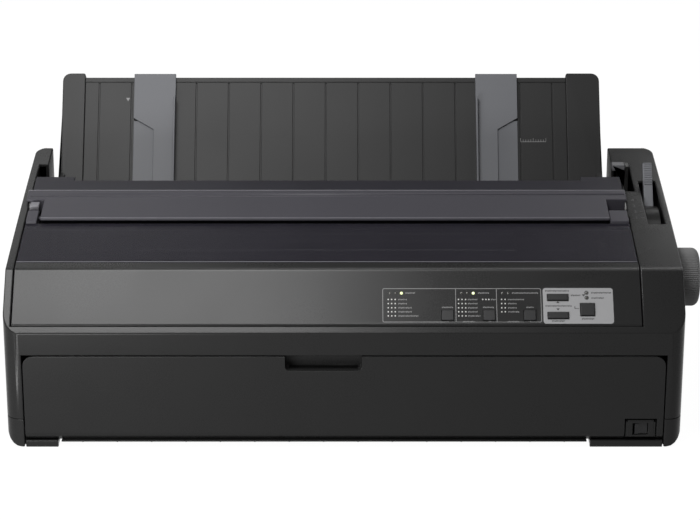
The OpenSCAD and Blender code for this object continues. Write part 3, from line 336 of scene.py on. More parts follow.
@dataclass(frozen=True)
class Steel(Finish):
    """Steel with drawing lines along one axis."""

    roughness: float = 0.35
    along: Sequence[float] = (0.06, 1.0, 1.0)
    line: float = 0.0012

    def dress(self, tree: Tree, place: Value) -> None:
        """Drawn lines in gloss, colour and height, with dull patches."""
        lines = tree.noise(tree.stretched(place, self.along), self.line, 3)
        patches = tree.noise(place, 0.02, 3)
        colour = tree.blend(lines * 0.5 + patches * 0.5, scaled(self.colour, 0.8), scaled(self.colour, 1.12))
        tree.surface({"Base Color": colour, "Metallic": 1.0,
                      "Roughness": lines * 0.12 + patches * 0.1 + (self.roughness - 0.1),
                      "Normal": tree.relief(lines, 0.00001)})


@dataclass(frozen=True)
class Nylon(Finish):
    """Cut nylon, slightly waxy."""

    def dress(self, tree: Tree, place: Value) -> None:
        """Soft patches and tool marks."""
        patches = tree.noise(place, 0.008, 2)
        marks = tree.noise(tree.stretched(place, (8, 1, 1)), 0.003, 2)
        tree.surface({"Base Color": tree.blend(patches, scaled(self.colour, 0.9), self.colour),
                      "Roughness": marks * 0.15 + 0.36, "Normal": tree.relief(marks, 0.00002)})


@dataclass(frozen=True)
class Film(Finish):
    """Printed film or ink with a satin face."""

    roughness: float = 0.45
    grain: float = 0.0005

    def dress(self, tree: Tree, place: Value) -> None:
        """Fine speckle of the print and a faint orange-peel skin."""
        speckle = tree.noise(place, self.grain, 2)
        peel = tree.noise(place, 0.003, 2)
        tree.surface({"Base Color": tree.blend(speckle, scaled(self.colour, 0.93), scaled(self.colour, 1.06)),
                      "Roughness": peel * 0.1 + (self.roughness - 0.05), "Specular IOR Level": 0.3,
                      "Normal": tree.relief(peel, 0.000012)})


@dataclass(frozen=True)
class Lens(Finish):
    """Diffusing lamp lens, lit or unlit."""

    glow: float = 0.0

    def dress(self, tree: Tree, place: Value) -> None:
        """Milky grain inside the lens, and its light."""
        milk = tree.noise(place, 0.0008, 2)
        colour = tree.blend(milk, scaled(self.colour, 0.85), self.colour)
        tree.surface({"Base Color": colour, "Roughness": milk * 0.1 + 0.15, "Emission Color": colour,
                      "Emission Strength": self.glow, "Coat Weight": 0.4})


@dataclass(frozen=True)
class CircuitBoard(Finish):
    """Green solder mask over copper tracks."""

    def dress(self, tree: Tree, place: Value) -> None:
        """Tracks as long thin bricks under the mask, with tinned spots."""
        tracks = tree.value("ShaderNodeTexBrick", {"offset": 0.37, "squash": 1.0},
                            {"Vector": place, "Scale": 55.0, "Mortar Size": 0.035, "Mortar Smooth": 0.1,
                             "Brick Width": 1.3, "Row Height": 0.16}, "Fac")
        spots = 1 - tree.cells(place, 0.006).above(0.16)
        mask = tree.blend(tracks, self.colour, scaled(self.colour, 2.0))
        tree.surface({"Base Color": tree.blend(spots, mask, (0.5, 0.5, 0.48)), "Metallic": spots * 0.8,
                      "Roughness": tracks * 0.1 + 0.32,
                      "Normal": tree.relief(tracks.larger(spots), 0.00004)})


CHARCOAL = MouldedPlastic("charcoal_plastic", (0.013, 0.013, 0.013), roughness=0.28, specular=0.12,
                          polished=((-0.1437, 0.1588),))
VIOLET = MouldedPlastic("violet_charcoal_plastic", (0.04, 0.0385, 0.046), roughness=0.42, specular=0.15,
                        grain=0.0009)
GUIDE = MouldedPlastic("guide_plastic", (0.017, 0.017, 0.017), roughness=0.42, specular=0.14)
DARK = MouldedPlastic("dark_plastic", (0.014, 0.014, 0.0145), roughness=0.42, specular=0.2, grain=0.0007)
BLACK = MouldedPlastic("black_plastic", (0.010, 0.010, 0.011), roughness=0.5, specular=0.25, grain=0.0008)
KNOB = MouldedPlastic("knob_plastic", (0.15, 0.15, 0.15), roughness=0.4, specular=0.25, grain=0.0008)
GRAY = MouldedPlastic("gray_plastic", (0.125, 0.128, 0.138), roughness=0.45, specular=0.35, grain=0.0008,
                      mottle=0.06)
STOP = MouldedPlastic("paper_stop_plastic", (0.092, 0.094, 0.102), roughness=0.5, specular=0.25, grain=0.0008,
                      mottle=0.06)
DIM_GRAY = MouldedPlastic("dim_gray_plastic", (0.085, 0.085, 0.09), roughness=0.45, specular=0.3, grain=0.0008)
# Paler violet: painted highlight on the band's rear edge and on the lit left hinge lug.
PAINTED_HIGHLIGHT_VIOLET = MouldedPlastic("painted_highlight_violet_plastic", (0.155, 0.152, 0.165), roughness=0.4, specular=0.3, grain=0.0008)
SMOKED = SmokedPlastic("smoked_plastic", (0.0135, 0.0125, 0.0175), roughness=0.36, specular=0.09)
STRIP = SmokedPlastic("smoked_strip_plastic", (0.0155, 0.0148, 0.0195), cover=0.97, roughness=0.4,
                      specular=0.12)
LABEL = Film("label_film", (0.215, 0.215, 0.219))
# Paler than the covers: painted highlight along the front edges of the band and the window.
PAINTED_EDGE_HIGHLIGHT = Film("painted_edge_highlight", (0.115, 0.113, 0.125))
INK_BLACK = Film("black_ink", (0.02, 0.02, 0.02))
INK_WHITE = Film("white_ink", (0.42, 0.42, 0.41))
INK_DIM = Film("gray_ink", (0.16, 0.16, 0.16))
INK_FAINT = Film("faint_ink", (0.055, 0.055, 0.055))
LENS_OFF = Lens("lamp_lens_unlit", (0.035, 0.035, 0.03))
LENS_LIT = Lens("lamp_lens_lit", (0.75, 0.82, 0.42), glow=0.7)
RUBBER = Rubber("rubber", (0.014, 0.014, 0.014))
PLATED = Steel("sheet_steel", (0.42, 0.42, 0.43), roughness=0.42)
GROUND = Steel("ground_steel", (0.6, 0.6, 0.61), roughness=0.24, line=0.0005)
CAST = Steel("head_metal", (0.22, 0.22, 0.235), roughness=0.5, along=(1, 1, 1), line=0.001)
NYLON = Nylon("white_nylon", (0.68, 0.67, 0.62))
BOARD = CircuitBoard("circuit_board", (0.012, 0.075, 0.03))


# --- mesh building ---


def linked(name: str, data: bpy.types.ID) -> bpy.types.Object:
    """A new object of the data, linked into the scene."""
    made = bpy.data.objects.new(name, data)
    bpy.context.scene.collection.objects.link(made)
    return made


class Shape:
    """A mesh under construction, in millimetres of its plane.

    Attributes:
        merge: Distance within which a CAD mesh's vertices become one.
        flat_angle: Angle in degrees below which its triangles are joined.
        sliver: Thickness below which a face's edges stay sharp.
    """

    merge: float = 0.004
    flat_angle: float = 0.04
    sliver: float = 0.15

    def __init__(self, plane: Plane = Plane.BODY) -> None:
        """Starts empty in that plane."""
        self.bm = bmesh.new()
        self.plane = plane

    @classmethod
    def of_node(cls, node: str, plane: Plane = Plane.BODY, join: bool = True) -> Shape:
        """A merged copy of a CAD node's mesh.

        Args:
            node: The node's name.
            plane: The plane that its points are brought into.
            join: Whether coplanar triangles are joined.

        Returns:
            The copy.
        """
        made = cls(plane)
        made.bm.from_mesh(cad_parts[node].data)
        made.bm.transform(plane.matrix.inverted())
        bmesh.ops.remove_doubles(made.bm, verts=made.bm.verts, dist=cls.merge)
        if join:
            bmesh.ops.dissolve_limit(made.bm, angle_limit=math.radians(cls.flat_angle), verts=made.bm.verts,
                                     edges=made.bm.edges, delimit={"NORMAL"})
        return made

    def _bevel(self, geom: list[Any], width: float, segments: int, affect: str = "EDGES",
               clamp: bool = True) -> dict[str, Any]:
        """Rounds edges or corners by the width."""
        return bmesh.ops.bevel(self.bm, geom=geom, offset=width, offset_type="OFFSET", segments=segments,
                               profile=0.5, affect=affect, clamp_overlap=clamp, material=-1)

    def extruded(self, faces: list[bmesh.types.BMFace], by: Sequence[float]) -> None:
        """Extrudes the faces by a vector."""
        raised = bmesh.ops.extrude_face_region(self.bm, geom=faces)["geom"]
        bmesh.ops.translate(self.bm, verts=[g for g in raised if isinstance(g, bmesh.types.BMVert)], vec=by)

    def prism(self, corners: Iterable[Sequence[float]], by: Sequence[float]) -> None:
        """Adds a flat piece on its corners, as thick as the vector."""
        face = self.bm.faces.new([self.bm.verts.new(Vector(corner)) for corner in corners])
        self.extruded([face], by)

    def soften(self, width: float, segments: int = 2, angle: float = 32,
               chosen: Callable[[bmesh.types.BMEdge], bool] = lambda edge: True) -> Shape:
        """Rounds the sharp outer edges, apart from those of slivers.

        Args:
            width: Width of the rounding.
            segments: Steps across it.
            angle: Smallest angle between faces that counts as sharp, in degrees.
            chosen: Test that an edge passes to be rounded.

        Returns:
            The same shape.
        """
        sharp = [e for e in self.bm.edges if len(e.link_faces) == 2 and e.is_convex
                 and e.calc_face_angle(0) > math.radians(angle) and chosen(e)
                 and min(f.calc_area() for f in e.link_faces) > self.sliver * e.calc_length()]
        self._bevel(sharp, width, segments, clamp=False)
        return self

    def block(self, x: Pair, y: Pair, z: Pair, rounding: float = 0.0, segments: int = 2) -> None:
        """Adds a box between two corners, with its edges rounded where a width is given."""
        middle = Vector(((x[0] + x[1]) / 2, (y[0] + y[1]) / 2, (z[0] + z[1]) / 2))
        size = Matrix.Diagonal((x[1] - x[0], y[1] - y[0], z[1] - z[0], 1))
        made = bmesh.ops.create_cube(self.bm, size=1, matrix=Matrix.Translation(middle) @ size)["verts"]
        if rounding:
            edges = {e for v in made for e in v.link_edges}
            self._bevel(list(edges), rounding, segments)

    def plate(self, x: Pair, y: Pair, z: Pair, corner: float, rim: float = 0.0) -> None:
        """Adds a flat plate with round corners, or only its rim.

        Args:
            x: Its ends across.
            y: Its ends along.
            z: Its lower and upper face.
            corner: Radius of its corners.
            rim: Width of the rim, or 0 for the whole plate.
        """
        middle = Vector(((x[0] + x[1]) / 2, (y[0] + y[1]) / 2, z[0]))
        size = Matrix.Diagonal((x[1] - x[0], y[1] - y[0], 1, 1))
        grid = bmesh.ops.create_grid(self.bm, x_segments=1, y_segments=1, size=0.5,
                                     matrix=Matrix.Translation(middle) @ size)["verts"]
        rounded = self._bevel(grid, corner, 4, "VERTICES")
        face = max((f for v in rounded["verts"] for f in v.link_faces), key=lambda f: f.calc_area())
        kept = [face]
        if rim:
            kept = bmesh.ops.inset_region(self.bm, faces=[face], thickness=rim, use_boundary=True,
                                          use_even_offset=True)["faces"]
            bmesh.ops.delete(self.bm, geom=[face], context="FACES")
        self.extruded(kept, (0, 0, z[1] - z[0]))

    def kept(self, place: Sequence[float], outward: Sequence[float]) -> Shape:
        """Cuts along a plane, drops what lies beyond it and closes the cut."""
        whole = list(self.bm.verts) + list(self.bm.edges) + list(self.bm.faces)
        cut = bmesh.ops.bisect_plane(self.bm, geom=whole, plane_co=place, plane_no=outward,
                                     clear_outer=True, dist=0.0001)
        rim = [g for g in cut["geom_cut"] if isinstance(g, bmesh.types.BMEdge)]
        bmesh.ops.holes_fill(self.bm, edges=rim, sides=0)
        bmesh.ops.recalc_face_normals(self.bm, faces=self.bm.faces)
        return self

    def round_corner(self, middle: Pair, radius: float, start: float, steps: int = 5) -> None:
        """Cuts one upright corner round with a fan of planes, and closes each cut.

        Args:
            middle: Middle of the rounding, across and along the plane.
            radius: Its radius.
            start: Direction of the first side of the corner, in degrees.
            steps: Number of cuts over the quarter turn.
        """
        for step in range(steps):
            a = math.radians(start + 90 * (step + 0.5) / steps)
            out = Vector((math.cos(a), math.sin(a), 0))
            self.kept(Vector((*middle, 0)) + out * radius, out)

    def turned(self, profile: Sequence[Pair], middle: Sequence[float], axis: str,
               steps: int) -> list[bmesh.types.BMVert]:
        """Adds a body of revolution.

        Args:
            profile: Points as a radius and a height along the axis.
            middle: Where the axis starts.
            axis: X, Y or Z.
            steps: Steps of the full turn.

        Returns:
            Its vertices.
        """
        turn = {"X": Matrix.Rotation(math.radians(90), 4, "Y"), "Y": Matrix.Rotation(math.radians(-90), 4, "X"),
                "Z": Matrix.Identity(4)}[axis]
        before = set(self.bm.verts)
        matrix = Matrix.Translation(middle) @ turn
        line = [self.bm.verts.new(matrix @ Vector((r, 0, h))) for r, h in profile]
        edges = [self.bm.edges.new(pair) for pair in zip(line, line[1:])]
        bmesh.ops.spin(self.bm, geom=line + edges, cent=middle, axis=turn.to_3x3() @ Vector((0, 0, 1)),
                       angle=math.tau, steps=steps, use_merge=True, use_duplicate=False)
        fresh = [v for v in self.bm.verts if v not in before]
        bmesh.ops.remove_doubles(self.bm, verts=fresh, dist=0.001)
        fresh = [v for v in self.bm.verts if v not in before]
        bmesh.ops.recalc_face_normals(self.bm, faces=list({f for v in fresh for f in v.link_faces}))
        return fresh

    def finish(self, name: str, body: str, finish: Finish, slot: str, replaces: Iterable[str] = (),
               smooth: float = 40) -> bpy.types.Object:
        """Makes the piece and puts it on its body.

        Args:
            name: The piece's name.
            body: The CAD body that it rides on.
            finish: Its finish.
            slot: The record's material slot. Not used.
            replaces: CAD nodes that it stands for.
            smooth: Angle in degrees up to which its faces are shaded as one surface.

        Returns:
            The piece's object.
        """
        self.bm.transform(self.plane.matrix)
        mesh = bpy.data.meshes.new(name)
        self.bm.to_mesh(mesh)
        self.bm.free()
        mesh.materials.clear()
        mesh.materials.append(finish.material())
        mesh.polygons.foreach_set("use_smooth", [True] * len(mesh.polygons))
        mesh.set_sharp_from_angle(angle=math.radians(smooth))
        piece = linked(name, mesh)
        evened = piece.modifiers.new("even_normals", "WEIGHTED_NORMAL")
        evened.keep_sharp = True
        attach(piece, body)
        if replaces:
            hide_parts(*replaces)
        log.info("%s: %d faces on %s", name, len(mesh.polygons), body)
        return piece


# --- the printer's sub-assemblies ---


@dataclass
class Case:
    """Lower and upper case with the marks beside the lever's slot."""

    edge: float = 0.7
    corner: float = 1.1
    digit_size: float = 7.0
    digit_depth: float = 0.1
    digit_x: float = 274.5
    digit_y: tuple[float, ...] = (137, 149, 161, 173)
    tick_x: Pair = (280.5, 284.0)
    tick_y: Pair = (1.6, 2.4)
    tick_z: Pair = (0.2, 0.5)

    def build(self) -> None:
        """Makes both halves and the numbers."""
        Shape.of_node("lower_case").soften(self.edge).finish(
            "case_lower_shell", "case", CHARCOAL, "charcoal_plastic", ["lower_case"])
        Shape.of_node("upper_case").soften(self.corner, 3).finish(
            "case_upper_shell", "case", CHARCOAL, "charcoal_plastic", ["upper_case"])
        self._numbers()

    def _numbers(self) -> None:
        """Plain numbers and ticks on the deck beside the slot."""
        shape = Shape()
        for count, y in enumerate(self.digit_y):
            z = top_height(y)
            slope = math.atan2(top_height(y + 1) - z, 1)
            curve = bpy.data.curves.new("digit", "FONT")
            curve.body = str(count + 1)
            curve.size = self.digit_size
            curve.extrude = self.digit_depth
            holder = linked("digit", curve)
            bpy.context.view_layer.update()
            flat = bpy.data.meshes.new_from_object(holder.evaluated_get(bpy.context.evaluated_depsgraph_get()))
            flat.transform(Matrix.Translation((self.digit_x, y, z)) @ Matrix.Rotation(slope, 4, "X"))
            shape.bm.from_mesh(flat)
            bpy.data.objects.remove(holder)
            bpy.data.curves.remove(curve)
            shape.block(self.tick_x, (y + self.tick_y[0], y + self.tick_y[1]),
                        (z + self.tick_z[0], z + self.tick_z[1]))
        bmesh.ops.remove_doubles(shape.bm, verts=shape.bm.verts, dist=0.001)
        shape.finish("lever_scale_numbers", "case", INK_FAINT, "charcoal_plastic", smooth=20)


@dataclass
class ControlPanel:
    """Sloped cover with its legend, silver label, buttons and lamps."""

    skin: float = 0.06
    line: float = 0.55
    cover_x: Pair = (-299.7, 268.3)
    cover_y: Pair = (5.9, 53.8)
    near_rim: float = 0.2
    box: Quad = (34.6, 178.1, 11.0, 44.1)
    dividers: Pair = (100.8, 137.7)
    rows: tuple[float, ...] = (33.2, 29.2, 25.1, 21.2, 17.2)
    label: Quad = (179.6, 243.0, 9.6, 44.4)
    label_corner: float = 2.6
    lamp_radius: float = 1.35
    lamp_depth: float = 9.0
    dome: Pair = (0.1, 0.6)
    lit: tuple[float, ...] = (51.8, 116.8)
    lamps: tuple[Pair, ...] = (
        (41.3, 39.4), (46.5, 39.4), (51.8, 39.4), (106.1, 39.4), (111.3, 39.4), (116.8, 39.4),
        (143.1, 39.4), (148.3, 39.4), (219.2, 39.7), (219.2, 34.8))
    dot_columns: tuple[tuple[float, ...], ...] = ((39.8, 42.9, 46.1), (103.3, 106.5, 109.7), (142.2, 145.4))
    dot_rows: tuple[int, ...] = (5, 5, 4)
    extra_dots: tuple[float, ...] = (125.2, 128.1, 130.7)
    dot: Pair = (0.55, 0.6)
    words: tuple[Span, ...] = (
        (55.5, 39.6, 9.0), (121.1, 39.6, 9.5), (151.9, 39.6, 23.5), (132.7, 33.2, 4.5),
        (88.3, 25.6, 9.9), (125.3, 25.6, 9.9), (164.6, 25.6, 5.9))
    row_words: tuple[tuple[float, tuple[float, ...]], ...] = (
        (49.0, (7.7, 7.7, 12.2, 12.6, 17.6)), (111.8, (9, 9, 9, 9, 10.8)), (148.0, (14.5, 7.7, 7.7, 9.5)))
    foot_words: tuple[Span, ...] = ((107.4, 11.6, 10.2), (147.4, 11.6, 10.6))
    foot_lines: tuple[tuple[float, ...], ...] = ((93.6, 106.4, 118.4, 130.4), (131.7, 146.4, 158.9, 167.7))
    foot_s: Pair = (11.3, 12.2)
    foot_line: float = 0.45
    stroke_widths: Span = (0.75, 0.5, 0.9)
    stroke_lows: Quad = (0.0, 0.35, 0.0, 0.2)
    stroke_highs: Span = (0.3, 0.0, 0.45)
    stroke_gap: float = 0.42
    stroke_least: float = 0.4
    label_words: tuple[Span, ...] = (
        (182, 41.7, 21.6), (205, 37.3, 8.6), (223.6, 39.8, 18.0), (223.6, 34.7, 11.2),
        (181.8, 27, 23.8), (214.2, 14.4, 10.8), (187.4, 12.3, 10.8))
    label_keys: tuple[Quad, ...] = (
        (183.9, 18.3, 32.2, 5.8), (183.9, 18.3, 14.5, 5.9), (213.4, 12.4, 17.4, 11.7))
    frame_gap: float = 0.8
    arrows: tuple[Span, ...] = ((193.0, 30.6, 1), (193.0, 23.6, -1), (216.4, 37.3, -1))
    ring: Pair = (1.5, 2.0)
    corner_line: tuple[tuple[Pair, Pair], ...] = (
        ((208.2, 24.4), (211.6, 24.4)), ((208.2, 24.4), (208.2, 26.4)))
    buttons: dict[str, str] = field(default_factory=lambda: {
        "font_button": "font_key", "pitch_button": "pitch_key", "tear_off_button": "tear_off_key",
        "load_eject_button": "load_eject_key", "line_feed_button": "line_feed_key",
        "pause_button": "pause_key"})

    def build(self) -> None:
        """Makes the cover and everything on it."""
        cover = Shape.of_node("control_panel_cover")
        x0, x1 = self.cover_x

        def outer(edge: bmesh.types.BMEdge) -> bool:
            """Whether the edge runs round the cover's outside."""
            middle = (edge.verts[0].co + edge.verts[1].co) / 2
            return (min(middle.x - x0, x1 - middle.x) < self.near_rim
                    or middle.y < self.cover_y[0] + self.near_rim or middle.y > self.cover_y[1] - self.near_rim)

        cover.soften(0.6, chosen=outer)
        cover.finish("panel_cover_shell", "case", CHARCOAL, "charcoal_plastic", ["control_panel_cover"])
        self._label()
        for node, body in self.buttons.items():
            Shape.of_node(node, Plane.PANEL).soften(0.45, 3).finish(
                node.replace("_button", "_key_cap"), body, DARK, "dark_plastic", [node])
        self._lamps()
        self._legend()
        self._label_print()

    def _label(self) -> None:
        """The label, with its four outer corners rounded."""
        x0, x1, s0, s1 = self.label
        shape = Shape.of_node("control_panel_label", Plane.PANEL, join=False)
        r = self.label_corner
        for x, s, start in ((x1 - r, s1 - r, 0), (x0 + r, s1 - r, 90),
                            (x0 + r, s0 + r, 180), (x1 - r, s0 + r, 270)):
            shape.round_corner((x, s), r, start)
        shape.finish("label_plate", "case", LABEL, "label_film", ["control_panel_label"], smooth=20)

    def _lamps(self) -> None:
        """Domed lamps, of which two are lit."""
        for name, glowing, finish in (("lamps_unlit", False, LENS_OFF), ("lamps_lit", True, LENS_LIT)):
            shape = Shape(Plane.PANEL)
            r, (rim, rise) = self.lamp_radius, self.dome
            for x, s in self.lamps:
                if (x in self.lit) is glowing:
                    dome = [(r * math.cos(math.radians(a)), rim + rise * math.sin(math.radians(a)))
                            for a in range(0, 90, 18)]
                    foot = [(0, -self.lamp_depth), (r, -self.lamp_depth)]
                    shape.turned([*foot, *dome, (0, rim + rise)], (x, s, 0), "Z", 20)
            shape.finish(name, "case", finish, "lamp_lens", ["indicator_lights"], smooth=60)

    def _word(self, shape: Shape, x: float, s: float, length: float, tall: float = 1.5) -> None:
        """A row of short plain strokes that stands where a word would be."""
        place, count = x, 0
        while place < x + length - self.stroke_least:
            wide = self.stroke_widths[count % 3]
            low = s - tall / 2 + self.stroke_lows[count % 4]
            high = s + tall / 2 - self.stroke_highs[count % 3]
            shape.block((place, place + wide), (low, high), (0, self.skin))
            place += wide + self.stroke_gap
            count += 1

    def _bar(self, shape: Shape, a: Pair, b: Pair, wide: float | None = None) -> None:
        """A straight line between two points of the panel, along X or up the slope."""
        half = (wide or self.line) / 2
        shape.block((min(a[0], b[0]) - half, max(a[0], b[0]) + half),
                    (min(a[1], b[1]) - half, max(a[1], b[1]) + half), (0, self.skin))

    def _legend(self) -> None:
        """Lines, dots and plain strokes in the legend's box."""
        x0, x1, s0, s1 = self.box
        bright, dim = Shape(Plane.PANEL), Shape(Plane.PANEL)
        dim.plate((x0, x1), (s0, s1), (0, self.skin), 1.6, self.line)
        for x in self.dividers:
            self._bar(dim, (x, s0 + 0.5), (x, s1 - 0.5))
        half_x, half_s = self.dot
        places = [(x, row) for xs, count in zip(self.dot_columns, self.dot_rows)
                  for row in self.rows[:count] for x in xs]
        places += [(x, self.rows[0]) for x in self.extra_dots]
        for x, row in places:
            bright.block((x - half_x, x + half_x), (row - half_s, row + half_s), (0, self.skin))
        by_row = [(x, s, n) for x, lengths in self.row_words for s, n in zip(self.rows, lengths)]
        for x, s, length in (*self.words, *by_row, *self.foot_words):
            self._word(dim, x, s, length)
        low, high = self.foot_s
        for left, gap_left, gap_right, right in self.foot_lines:
            for a, b in ((left, gap_left), (gap_right, right)):
                self._bar(dim, (a, low), (b, low), self.foot_line)
            for x in (left, right):
                self._bar(dim, (x, low), (x, high), self.foot_line)
        bright.finish("legend_dots", "case", INK_WHITE, "label_film", smooth=20)
        dim.finish("legend_lines", "case", INK_DIM, "label_film", smooth=20)

    def _label_print(self) -> None:
        """Frames, arrows and plain strokes in black on the label."""
        shape = Shape(Plane.PANEL)
        for x, s, length in self.label_words:
            self._word(shape, x, s, length, 1.7)
        gap = self.frame_gap
        for x, wide, s, tall in self.label_keys:
            shape.plate((x - gap, x + wide + gap), (s - gap, s + tall + gap), (0, self.skin), 0.6, 0.5)
        for x, s, up in self.arrows:
            shape.prism([(x + dx, s + ds * up, 0) for dx, ds in ((-1.5, -0.9), (1.5, -0.9), (0, 1.2))],
                        (0, 0, self.skin))
        inner, outer = self.ring
        ring = [(inner, 0), (inner, self.skin), (outer, self.skin), (outer, 0), (inner, 0)]
        for x, s in self.lamps[-2:]:
            shape.turned(ring, (x, s, 0), "Z", 20)
        for a, b in self.corner_line:
            self._bar(shape, a, b, 0.5)
        bmesh.ops.recalc_face_normals(shape.bm, faces=shape.bm.faces)
        shape.finish("label_print", "case", INK_BLACK, "label_film", smooth=20)


@dataclass
class Covers:
    """Window flap, raised exit cover and the smoked strip behind it."""

    edge: float = 0.9
    cut_y: float = 126.99
    # Height span and rounding of the pale strips that are painted highlights on the edges.
    highlight_strip: Pair = (-0.6, 0.25)
    highlight_strip_edge: float = 0.3

    def build(self) -> None:
        """Makes the three covers, pale strips along their edges that are painted highlights, and a pale cap on
        the left hinge lug that is a painted highlight.
        """
        Shape.of_node("paper_exit_cover").soften(self.edge).finish(
            "exit_cover_shell", "exit_cover", VIOLET, "violet_charcoal_plastic", ["paper_exit_cover"])
        Shape.of_node("rear_smoked_strip").soften(0.5).finish(
            "smoked_strip", "exit_cover", STRIP, "smoked_plastic", ["rear_smoked_strip"])
        for name, rear, finish, slot in (("window_pane", False, SMOKED, "smoked_plastic"),
                                         ("window_arms", True, VIOLET, "violet_charcoal_plastic")):
            shape = Shape.of_node("window_flap").kept((0, self.cut_y, 0), (0, -1 if rear else 1, 0))
            shape.soften(0.7).finish(name, "window", finish, slot, ["window_flap"])
        # Thin pale strips on the edges that catch the light: painted highlights.
        for name, body, finish, x, y, raised in (
                ("band_rear_painted_highlight", "exit_cover", PAINTED_HIGHLIGHT_VIOLET, (-303.2, 269.7), (186.5, 187.5), 4.5),
                ("band_front_painted_highlight", "exit_cover", PAINTED_EDGE_HIGHLIGHT, (-285.8, 249.8), (129.6, 130.4), 4.5),
                ("window_front_painted_highlight", "window", PAINTED_EDGE_HIGHLIGHT, (-299.5, 268.1), (54.8, 55.6), 0.0)):
            highlight_strip = Shape()
            z = top_height(sum(y) / 2) + raised
            highlight_strip.block(x, y, (z + self.highlight_strip[0], z + self.highlight_strip[1]), self.highlight_strip_edge)
            highlight_strip.finish(name, body, finish, "violet_charcoal_plastic")
        # Pale cap on the left hinge lug only, lighter than the right one: painted highlight where the lug is
        # lit.
        lug = Shape()
        lug.block((-298.75, -290.25), (156.35, 167.6), (178.0, top_height(156.5) + 3.95), 0.8)
        lug.finish("hinge_lug_painted_highlight", "exit_cover", PAINTED_HIGHLIGHT_VIOLET, "violet_charcoal_plastic")


@dataclass
class FrontDoor:
    """Front door with the power switch that stands in its opening."""

    edge: float = 0.6
    flange_x: Pair = (256.5, 283.5)
    flange_z: Pair = (11.2, 27.6)
    flange_rim: float = 2.0

    def build(self) -> None:
        """Makes the door, the switch frame and its rocker."""
        Shape.of_node("front_door").soften(self.edge).finish(
            "door_shell", "door", CHARCOAL, "charcoal_plastic", ["front_door"])
        housing = Shape.of_node("power_switch_housing").soften(0.6)
        (x0, x1), (z0, z1), rim = self.flange_x, self.flange_z, self.flange_rim
        for x, z in (((x0, x0 + rim), (z0, z1)), ((x1 - rim, x1), (z0, z1)), ((x0, x1), (z1 - rim, z1))):
            housing.block(x, (0.9, 3.0), z, 0.3)
        housing.finish("switch_frame", "case", CHARCOAL, "dark_plastic", ["power_switch_housing"])
        Shape.of_node("power_rocker").soften(0.35).finish(
            "rocker_cap", "rocker", DARK, "dark_plastic", ["power_rocker"])


@dataclass
class SheetGuide:
    """Leaning sheet guide with its caps, scale and two edge guides."""

    scale_x: Pair = (179.3, 204.9)
    scale_v: float = 54.6
    scale_steps: int = 10
    tick_half: float = 0.22
    tick_tall: Pair = (2.2, 3.6)
    tick_y: Pair = (1.9, 2.05)
    base_line: float = 0.5
    mark: Pair = (-220.4, 99.3)
    mark_y: float = 2.0
    mark_relief: float = 0.2

    def build(self) -> None:
        """Makes the panel, the caps, the edge guides and the marks."""
        for node, name in (("sheet_guide", "guide_panel"), ("sheet_guide_caps", "guide_end_caps")):
            Shape.of_node(node, Plane.GUIDE).soften(0.5 if node == "sheet_guide" else 0.9).finish(
                name, "rear_guide", GUIDE, "charcoal_plastic", [node])
        for side in ("left", "right"):
            Shape.of_node(f"{side}_edge_guide", Plane.GUIDE).soften(0.5).finish(
                f"{side}_paper_stop", f"{side}_edge", STOP, "gray_plastic", [f"{side}_edge_guide"])
        self._marks()

    def _marks(self) -> None:
        """Paper-width ticks and the raised pointer."""
        ticks = Shape(Plane.GUIDE)
        x0, x1 = self.scale_x
        for i in range(self.scale_steps + 1):
            x = x0 + (x1 - x0) * i / self.scale_steps
            tall = self.tick_tall[i % 5 == 0]
            ticks.block((x - self.tick_half, x + self.tick_half), self.tick_y,
                        (self.scale_v, self.scale_v + tall))
        ticks.block((x0, x1), self.tick_y, (self.scale_v - self.base_line, self.scale_v))
        x, v = self.mark
        ticks.prism([(x + dx, self.mark_y, v + dv) for dx, dv in ((-2, 1.8), (2, 1.8), (0, -1.8))],
                    (0, -self.mark_relief, 0))
        bmesh.ops.recalc_face_normals(ticks.bm, faces=ticks.bm.faces)
        ticks.finish("guide_marks", "rear_guide", INK_DIM, "charcoal_plastic", smooth=20)


@dataclass
class Knob:
    """Paper feed knob with a knurled rim."""

    x: Pair = (308.8, 331.2)
    radius: float = 27.3
    edge: float = 6.0
    ridges: int = 94
    groove: float = 0.75
    chamfer: float = 1.0
    knurl: float = 4.5
    hub: tuple[Pair, ...] = ((12.5, 0.0), (11.6, 1.4), (6.5, 1.4), (6.0, 0.6), (0.0, 0.6))
    axis: Pair = (107.0, 128.5)

    def build(self) -> None:
        """Turns the knob and cuts its knurl."""
        x0, x1 = self.x
        r, wide = self.radius, x1 - x0
        flat = wide - self.edge
        arc = [math.radians(a) for a in range(0, 91, 15)]
        rounding = [(r + self.edge * (math.cos(a) - 1), wide + self.edge * (math.sin(a) - 1)) for a in arc]
        profile = [(0, 0), (r - self.chamfer, 0), (r, self.chamfer), (r, flat - 10), (r, flat - 5),
                   *rounding, *((hub_r, wide - sunk) for hub_r, sunk in self.hub)]
        shape = Shape()
        steps = 2 * self.ridges
        middle = Vector((x0, *self.axis))
        for vertex in shape.turned(profile, middle, "X", steps):
            off = vertex.co - middle
            distance = math.hypot(off.y, off.z)
            step = round(math.atan2(off.z, off.y) / math.tau * steps)
            if distance > r - self.knurl and off.x > self.chamfer / 2 and step % 2:
                share = 1 - self.groove / distance
                vertex.co = middle + Vector((off.x, off.y * share, off.z * share))
        shape.finish("knurled_knob", "platen", KNOB, "dark_plastic", ["platen_knob"], smooth=24)


